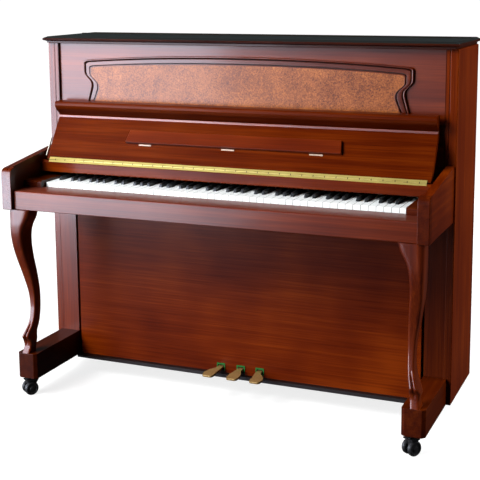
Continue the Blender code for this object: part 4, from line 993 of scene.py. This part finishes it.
# Keys: 52 white keys with smooth cast tops and 36 black keys, each narrower at its top. The
# octave in the middle plays, and the other keys lie on the rails that carry them.
WHITE_KEYS = 52
KEY_PITCH = 0.02356
KEY_GAP = 0.0010
KEY_TOP = 0.725
KEY_HEIGHT = 0.0208
KEY_FRONT_DEPTH = 0.505
KEY_TAIL_DEPTH = 0.186
KEY_HEAD_LENGTH = 0.050
BLACK_WIDTH = 0.0102
BLACK_TOP_SHARE = 0.84
BLACK_LENGTH = 0.093
BLACK_RISE = 0.012
BLACK_FRONT_GAP = 0.0012
BLACK_SLOPE = 0.005
STICK_BELOW_TOP = 0.003
BALANCE_DEPTH = 0.285
FIRST_PLAYING_KEY = 23
PLAYING_WHITE_KEYS = 7
NOTES = "ABCDEFG"
BLACK_AFTER = {"A": 0.0016, "C": -0.0016, "D": 0.0016, "F": -0.0022, "G": 0.0}
KEYBED_TOP = 0.679
KEY_BOTTOM = KEY_TOP - KEY_HEIGHT
PLAYING_BOTTOM = KEY_BOTTOM + 0.0012
KEYBOARD_HALF = WHITE_KEYS * KEY_PITCH / 2
WHITE_EDGE_RADIUS = 0.0006
BLACK_EDGE_RADIUS = 0.0011
RAIL_END_GAP = 0.001
RAIL_OVERLAP = 0.0005
RAIL_CLEARANCE = 0.0003
WHITE_RAIL = (BALANCE_DEPTH - 0.008, BALANCE_DEPTH + 0.008)
BLACK_RAIL = (KEY_TAIL_DEPTH - 0.023, KEY_TAIL_DEPTH - 0.001)
BLACK_RAIL_BOTTOM = KEY_BOTTOM - 0.020
STILL_TAIL_DEPTH = KEY_TAIL_DEPTH - 0.019
PLAYING_TAIL_DEPTH = KEY_TAIL_DEPTH + 0.001
LOOKS_BESIDE = (0.60, 0.90)
WHITE_RESIN = (0.88, 0.93, 0.94)
# Painted shade on the keys' sides, which shows as a line in the gap between keys.
WHITE_SIDE_IN_SHADE = (0.060, 0.050, 0.045)
BLACK_RESIN = (0.010, 0.011, 0.012)
BLACK_SIDE_IN_SHADE = (0.008, 0.009, 0.010)


def white_edge(index):
    """X of a white key's left edge."""
    return (index - WHITE_KEYS / 2) * KEY_PITCH


def black_centre(index):
    """X of the black key after this white key, or None where there is none."""
    note = NOTES[index % 7]
    if note not in BLACK_AFTER or index >= WHITE_KEYS - 1:
        return None
    return white_edge(index + 1) + BLACK_AFTER[note]


def add_prism(shape, outline, place, low, high):
    """Adds an outline pushed from low to high, where place turns (a, b, c) to a point."""
    rows = [[shape.verts.new(place(a, b, c)) for a, b in outline] for c in (low, high)]
    shape.faces.new(rows[0])
    shape.faces.new(rows[1])
    for index in range(len(outline)):
        after = (index + 1) % len(outline)
        shape.faces.new((rows[0][index], rows[0][after], rows[1][after], rows[1][index]))


def in_plan(x, depth, z):
    """A point of an outline that is drawn from above."""
    return x, at_depth(depth), z


def add_white_key(shape, index, bottom):
    """A white key: a full-width head, and a tail cut away beside its black neighbours."""
    left = white_edge(index) + KEY_GAP / 2
    right = white_edge(index + 1) - KEY_GAP / 2
    beside = BLACK_WIDTH / 2 + KEY_GAP
    before = black_centre(index - 1) if index else None
    after = black_centre(index)
    waist = KEY_FRONT_DEPTH - KEY_HEAD_LENGTH
    tail_left = left if before is None else before + beside
    tail_right = right if after is None else after - beside
    outline = [(left, KEY_FRONT_DEPTH), (right, KEY_FRONT_DEPTH)]
    if after is not None:
        outline += [(right, waist), (tail_right, waist)]
    outline += [(tail_right, KEY_TAIL_DEPTH), (tail_left, KEY_TAIL_DEPTH)]
    if before is not None:
        outline += [(tail_left, waist), (left, waist)]
    add_prism(shape, outline, in_plan, bottom, KEY_TOP)


def add_black_key(shape, index, bottom, tail):
    """A black key: a stick, and a sharp with a narrower top and a sloped front."""
    centre = black_centre(index)
    front = KEY_FRONT_DEPTH - KEY_HEAD_LENGTH - BLACK_FRONT_GAP
    back = front - BLACK_LENGTH
    stick_top = KEY_TOP - STICK_BELOW_TOP
    top = KEY_TOP + BLACK_RISE
    outline = [
        (front, bottom),
        (front, KEY_TOP),
        (front - BLACK_SLOPE, top),
        (back, top),
        (back, stick_top),
        (tail, stick_top),
        (tail, bottom),
    ]

    def from_side(depth, z, x):
        share = BLACK_TOP_SHARE if z > KEY_TOP + 0.001 else 1.0
        return centre + x * share, at_depth(depth), z

    add_prism(shape, outline, from_side, -BLACK_WIDTH / 2, BLACK_WIDTH / 2)


def add_rail(shape, back, front, low, high):
    """Adds the long rail that carries a row of keys."""
    half = KEYBOARD_HALF - RAIL_END_GAP
    outline = [(-half, back), (half, back), (half, front), (-half, front)]
    add_prism(shape, outline, in_plan, low, high)


def key_piece(name, shape, material, body, slot, node, edge):
    """Finishes keys: edges rounded by a bevel, as moulded keytops are."""
    bmesh.ops.recalc_face_normals(shape, faces=shape.faces)
    piece = mesh_object(name, shape)
    piece.data.shade_smooth()
    bevel = piece.modifiers.new("worn edge", "BEVEL")
    bevel.width = edge
    bevel.segments = 2
    bevel.limit_method = "ANGLE"
    bevel.angle_limit = math.radians(30)
    bevel.harden_normals = True
    fit_piece(piece, material, body, slot, node)


def keytop(name, colour, side_in_shade, rough, tooth, coat):
    """Cast resin: smooth and a little cloudy, with a fine tooth. The key's wooden sides are painted
    dark as the shade in the gap between two keys, and show as a line there."""
    material, shader, at = new_finish(name, coat_roughness=0.12, specular_ior_level=0.3)
    cloud = at.noise(60.0)
    fine = at.noise(900.0, detail=2.0)
    across = facing(at, "X")
    beside = (across * across).step(*LOOKS_BESIDE)
    resin = cloud.tint((*colour, 1.0), (*deeper(colour, 0.94), 1.0))
    feed(shader, "Base Color", beside.tint(resin, (*side_in_shade, 1.0)))
    feed(shader, "Roughness", rough + 0.08 * fine)
    feed(shader, "Coat Weight", coat + 0.05 * cloud)
    feed(shader, "Normal", fine.bump(strength=tooth, distance=0.0002))
    return material


white_keytop = keytop("white_keytop", WHITE_RESIN, WHITE_SIDE_IN_SHADE, rough=0.30, tooth=0.02, coat=0.05)
black_keytop = keytop("black_keytop", BLACK_RESIN, BLACK_SIDE_IN_SHADE, rough=0.26, tooth=0.05, coat=0.20)
octave = range(FIRST_PLAYING_KEY, FIRST_PLAYING_KEY + PLAYING_WHITE_KEYS)
still_white = bmesh.new()
still_black = bmesh.new()
for index in range(WHITE_KEYS):
    has_black = black_centre(index) is not None
    if index not in octave:
        add_white_key(still_white, index, KEY_BOTTOM)
        if has_black:
            add_black_key(still_black, index, PLAYING_BOTTOM, STILL_TAIL_DEPTH)
        continue
    note = NOTES[index % 7].lower()
    body = f"key_{note}"
    white = bmesh.new()
    add_white_key(white, index, PLAYING_BOTTOM)
    edge = WHITE_EDGE_RADIUS
    key_piece(f"white_{body}", white, white_keytop, body, "white_keytop", body, edge)
    if has_black:
        body = f"key_{note}_sharp"
        black = bmesh.new()
        add_black_key(black, index, PLAYING_BOTTOM, PLAYING_TAIL_DEPTH)
        edge = BLACK_EDGE_RADIUS
        key_piece(f"black_key_{note}", black, black_keytop, body, "black_keytop", body, edge)
add_rail(still_white, *WHITE_RAIL, KEYBED_TOP + RAIL_CLEARANCE, KEY_BOTTOM + RAIL_OVERLAP)
add_rail(still_black, *BLACK_RAIL, BLACK_RAIL_BOTTOM, PLAYING_BOTTOM + RAIL_OVERLAP)
rows = (
    ("white_key_row", still_white, white_keytop, "white_keytop", "white_keys", WHITE_EDGE_RADIUS),
    ("black_key_row", still_black, black_keytop, "black_keytop", "black_keys", BLACK_EDGE_RADIUS),
)
for name, shape, material, slot, node, edge in rows:
    key_piece(name, shape, material, "case", slot, node, edge)

# Pedals: three cast brass arms that come out through slots in the lower panel. Each slot is
# lined with a collar of green felt that keeps the pedal quiet.
PEDAL_X = (-0.0705, 0.0020, 0.0705)
LOWER_FRONT = 0.307
COLLAR_OUT = 0.0150
COLLAR_IN = 0.0112
COLLAR_LOW = 0.0790
COLLAR_TOP = 0.1040
COLLAR_FROM_PANEL = (0.0002, 0.0022)
SLOT_TOP = 0.0985
WORN_BRASS = {"deep": (0.20, 0.11, 0.038), "bright": (0.46, 0.30, 0.11)}
pedal_brass = brass("pedal_brass", "y", rough=0.16, **WORN_BRASS)
green_felt = felt("green_felt", dark=(0.010, 0.075, 0.014), light=(0.030, 0.165, 0.035))
for name, x in zip(("left", "middle", "right"), PEDAL_X):
    paint_node(f"pedal_{name}", pedal_brass)
    outline = [
        (x - COLLAR_OUT, COLLAR_LOW),
        (x - COLLAR_OUT, COLLAR_TOP),
        (x + COLLAR_OUT, COLLAR_TOP),
        (x + COLLAR_OUT, COLLAR_LOW),
        (x + COLLAR_IN, COLLAR_LOW),
        (x + COLLAR_IN, SLOT_TOP),
        (x - COLLAR_IN, SLOT_TOP),
        (x - COLLAR_IN, COLLAR_LOW),
    ]
    faces = [at_depth(LOWER_FRONT + out) for out in COLLAR_FROM_PANEL]
    collar = [[(a, y, z) for a, z in outline] for y in faces]
    fit_piece(skin(f"slot_felt_{name}", collar), green_felt, "case", "caster_rubber")

# Casters: a pair of black rubber-tyred wheels on a steel axle, in a black painted fork whose
# stem turns in the toe rail.
CASTER_WEB = 0.009
WHEEL_WIDTH = 0.015
AXLE_RADIUS = 0.0038
WHEEL_STEPS = 56
WHEEL_SHARP = 35
CASTER_SWIVEL = {"front": math.radians(-35), "rear": 0.0}
DUSTY_BLACK = {"dark": (0.008, 0.008, 0.009), "light": (0.022, 0.022, 0.024)}
wheel_rubber = blackened("wheel_rubber", rough=0.36, tooth=600.0, **DUSTY_BLACK)
fork_paint = blackened("fork_paint", rough=0.24, tooth=300.0, **DUSTY_BLACK)


def wheel_section(radius):
    """Half of the turned outline, from the rim of the hub's flat cap over the tyre to the axle.
    Each point is a radius and a place along the axle."""
    inner = CASTER_WEB / 2 + 0.0008
    outer = inner + WHEEL_WIDTH
    corners = [
        (0.0, outer + 0.001, 0),
        (radius * 0.28, outer + 0.001, 0.0012),
        (radius * 0.34, outer - 0.0022, 0.0012),
        (radius * 0.62, outer - 0.0022, 0.0010),
        (radius * 0.70, outer, 0.0010),
        (radius * 0.86, outer, 0.0020),
        (radius, outer - 0.0045, 0.0040),
        (radius, inner + 0.0035, 0.0030),
        (radius * 0.86, inner, 0.0020),
        (AXLE_RADIUS, inner, 0),
    ]
    return rounded(corners, 4)[1:]


def turned_ring(place, radius, along):
    """One circle of a turned piece, whose axis is Z before it is put in its place."""
    ring = []
    for index in range(WHEEL_STEPS):
        angle = 2 * math.pi * index / WHEEL_STEPS
        ring.append(place @ Vector((radius * math.cos(angle), radius * math.sin(angle), along)))
    return ring


for end, swivel in CASTER_SWIVEL.items():
    for hand in ("left", "right"):
        body = f"caster_wheels_{end}_{hand}"
        low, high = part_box(body)
        centre = (Vector(low) + Vector(high)) / 2
        turn = Matrix.Rotation(swivel, 4, "Z") @ Matrix.Rotation(math.pi / 2, 4, "Y")
        place = Matrix.Translation(centre) @ turn
        half = wheel_section(centre.z)
        section = half + [(radius, -along) for radius, along in reversed(half)]
        rings = [turned_ring(place, *point) for point in section]
        wheels = skin(f"caster_tyres_{end}_{hand}", rings, sharp=WHEEL_SHARP)
        fit_piece(wheels, wheel_rubber, body, "caster_rubber", body)
        paint_node(f"caster_fork_{end}_{hand}", fork_paint)

# Back frame, soundboard and key bed: bare spruce, glued and left pale. The grain of the posts
# runs up, and that of the soundboard and the key bed runs along the piano.
spruce_x = plain_wood("spruce_x", "x", light=(0.62, 0.41, 0.21), dark=(0.40, 0.24, 0.11))
spruce_z = plain_wood("spruce_z", "z", light=(0.58, 0.38, 0.20), dark=(0.38, 0.22, 0.10))
paint_node("back_frame", spruce_z)
paint_node("soundboard", spruce_x)
paint_node("keybed", spruce_x)

# Iron frame: cast iron in gold paint, bolted over the soundboard. Steel strings run down over
# it from three rows of tuning pins.
STRINGS = 176
STRING_REACH = 0.600
STRING_DEPTH = 0.1200
STRING_LOW = 0.215
STRING_TOP = 1.090
STRING_RADIUS = 0.0005
PINS_IN_ROW = 60
PIN_ROWS = 3
PIN_DEPTH = 0.1142
PIN_LOW = 1.085
PIN_ROW_GAP = 0.024
PIN_LENGTH = 0.024
PIN_RADIUS = 0.0033


def gold_paint():
    """Gold paint over rough cast iron."""
    material, shader, at = new_finish("frame_gold_paint", metallic=0.55)
    cast = at.noise(160.0)
    feed(shader, "Base Color", cast.tint((0.42, 0.27, 0.08, 1.0), (0.62, 0.43, 0.16, 1.0)))
    feed(shader, "Roughness", 0.34 + 0.18 * cast)
    feed(shader, "Normal", cast.bump(strength=0.20, distance=0.0006))
    return material


def steel(name, rough):
    """Drawn steel wire, with a trace of age."""
    material, shader, at = new_finish(name, metallic=1.0)
    cloud = at.noise(40.0)
    feed(shader, "Base Color", cloud.tint((0.36, 0.37, 0.40, 1.0), (0.58, 0.59, 0.62, 1.0)))
    feed(shader, "Roughness", rough + 0.12 * cloud)
    return material


paint_node("iron_frame", gold_paint())
steel_wire = steel("steel_wire", 0.25)
string_step = (2 * STRING_REACH / (STRINGS - 1), 0.0, 0.0)
string_start = (-STRING_REACH, at_depth(STRING_DEPTH), STRING_LOW)
string = stud(STRING_RADIUS, STRING_TOP - STRING_LOW, 6, (0.0, 0.0, 1.0))
rows_of("strings", string, steel_wire, "case", "caster_metal", string_start, string_step, STRINGS)
pin_step = (2 * STRING_REACH / (PINS_IN_ROW - 1), 0.0, 0.0)
pin_start = (-STRING_REACH, at_depth(PIN_DEPTH), PIN_LOW)
pin_row_step = (pin_step[0] / PIN_ROWS, 0.0, PIN_ROW_GAP)
pin = stud(PIN_RADIUS, PIN_LENGTH, 10, (0.0, -1.0, 0.12), 0.85)
rows_of(
    "tuning_pins",
    pin,
    steel_wire,
    "case",
    "caster_metal",
    pin_start,
    pin_step,
    PINS_IN_ROW,
    pin_row_step,
    PIN_ROWS,
)

# Action and trapwork: pale wooden hammers with white felt heads before the strings, and
# the levers and rods that carry the pedals' motion up to them.
HAMMERS = 88
HAMMER_RAIL_DEPTH = 0.215
HAMMER_TOP = 0.990
HAMMER_FELT_HALF = 0.0044
HAMMER_FELT_OUTLINE = [(-0.010, 0.0030, 0.004), (-0.046, -0.0030, 0.005), (-0.010, -0.0220, 0.004)]


def beside_hammer(depth, z, x):
    """A point of a hammer's outline, from its place on the rail."""
    return x, -depth, z


paint_node("action", spruce_x)
hammer_felt = felt("hammer_felt", dark=(0.55, 0.52, 0.46), light=(0.76, 0.73, 0.66))
head = bmesh.new()
head_outline = rounded(HAMMER_FELT_OUTLINE, 3)
add_prism(head, head_outline, beside_hammer, -HAMMER_FELT_HALF, HAMMER_FELT_HALF)
bmesh.ops.recalc_face_normals(head, faces=head.faces)
spread = 2 * KEYBOARD_HALF / HAMMERS
head_step = (spread, 0.0, 0.0)
head_start = (-KEYBOARD_HALF + spread / 2, at_depth(HAMMER_RAIL_DEPTH), HAMMER_TOP)
rows_of("hammer_felts", head, hammer_felt, "case", "spruce", head_start, head_step, HAMMERS)
for name in ("left", "middle", "right"):
    paint_node(f"trap_lever_{name}", spruce_x)
    paint_node(f"lift_rod_{name}", spruce_z)
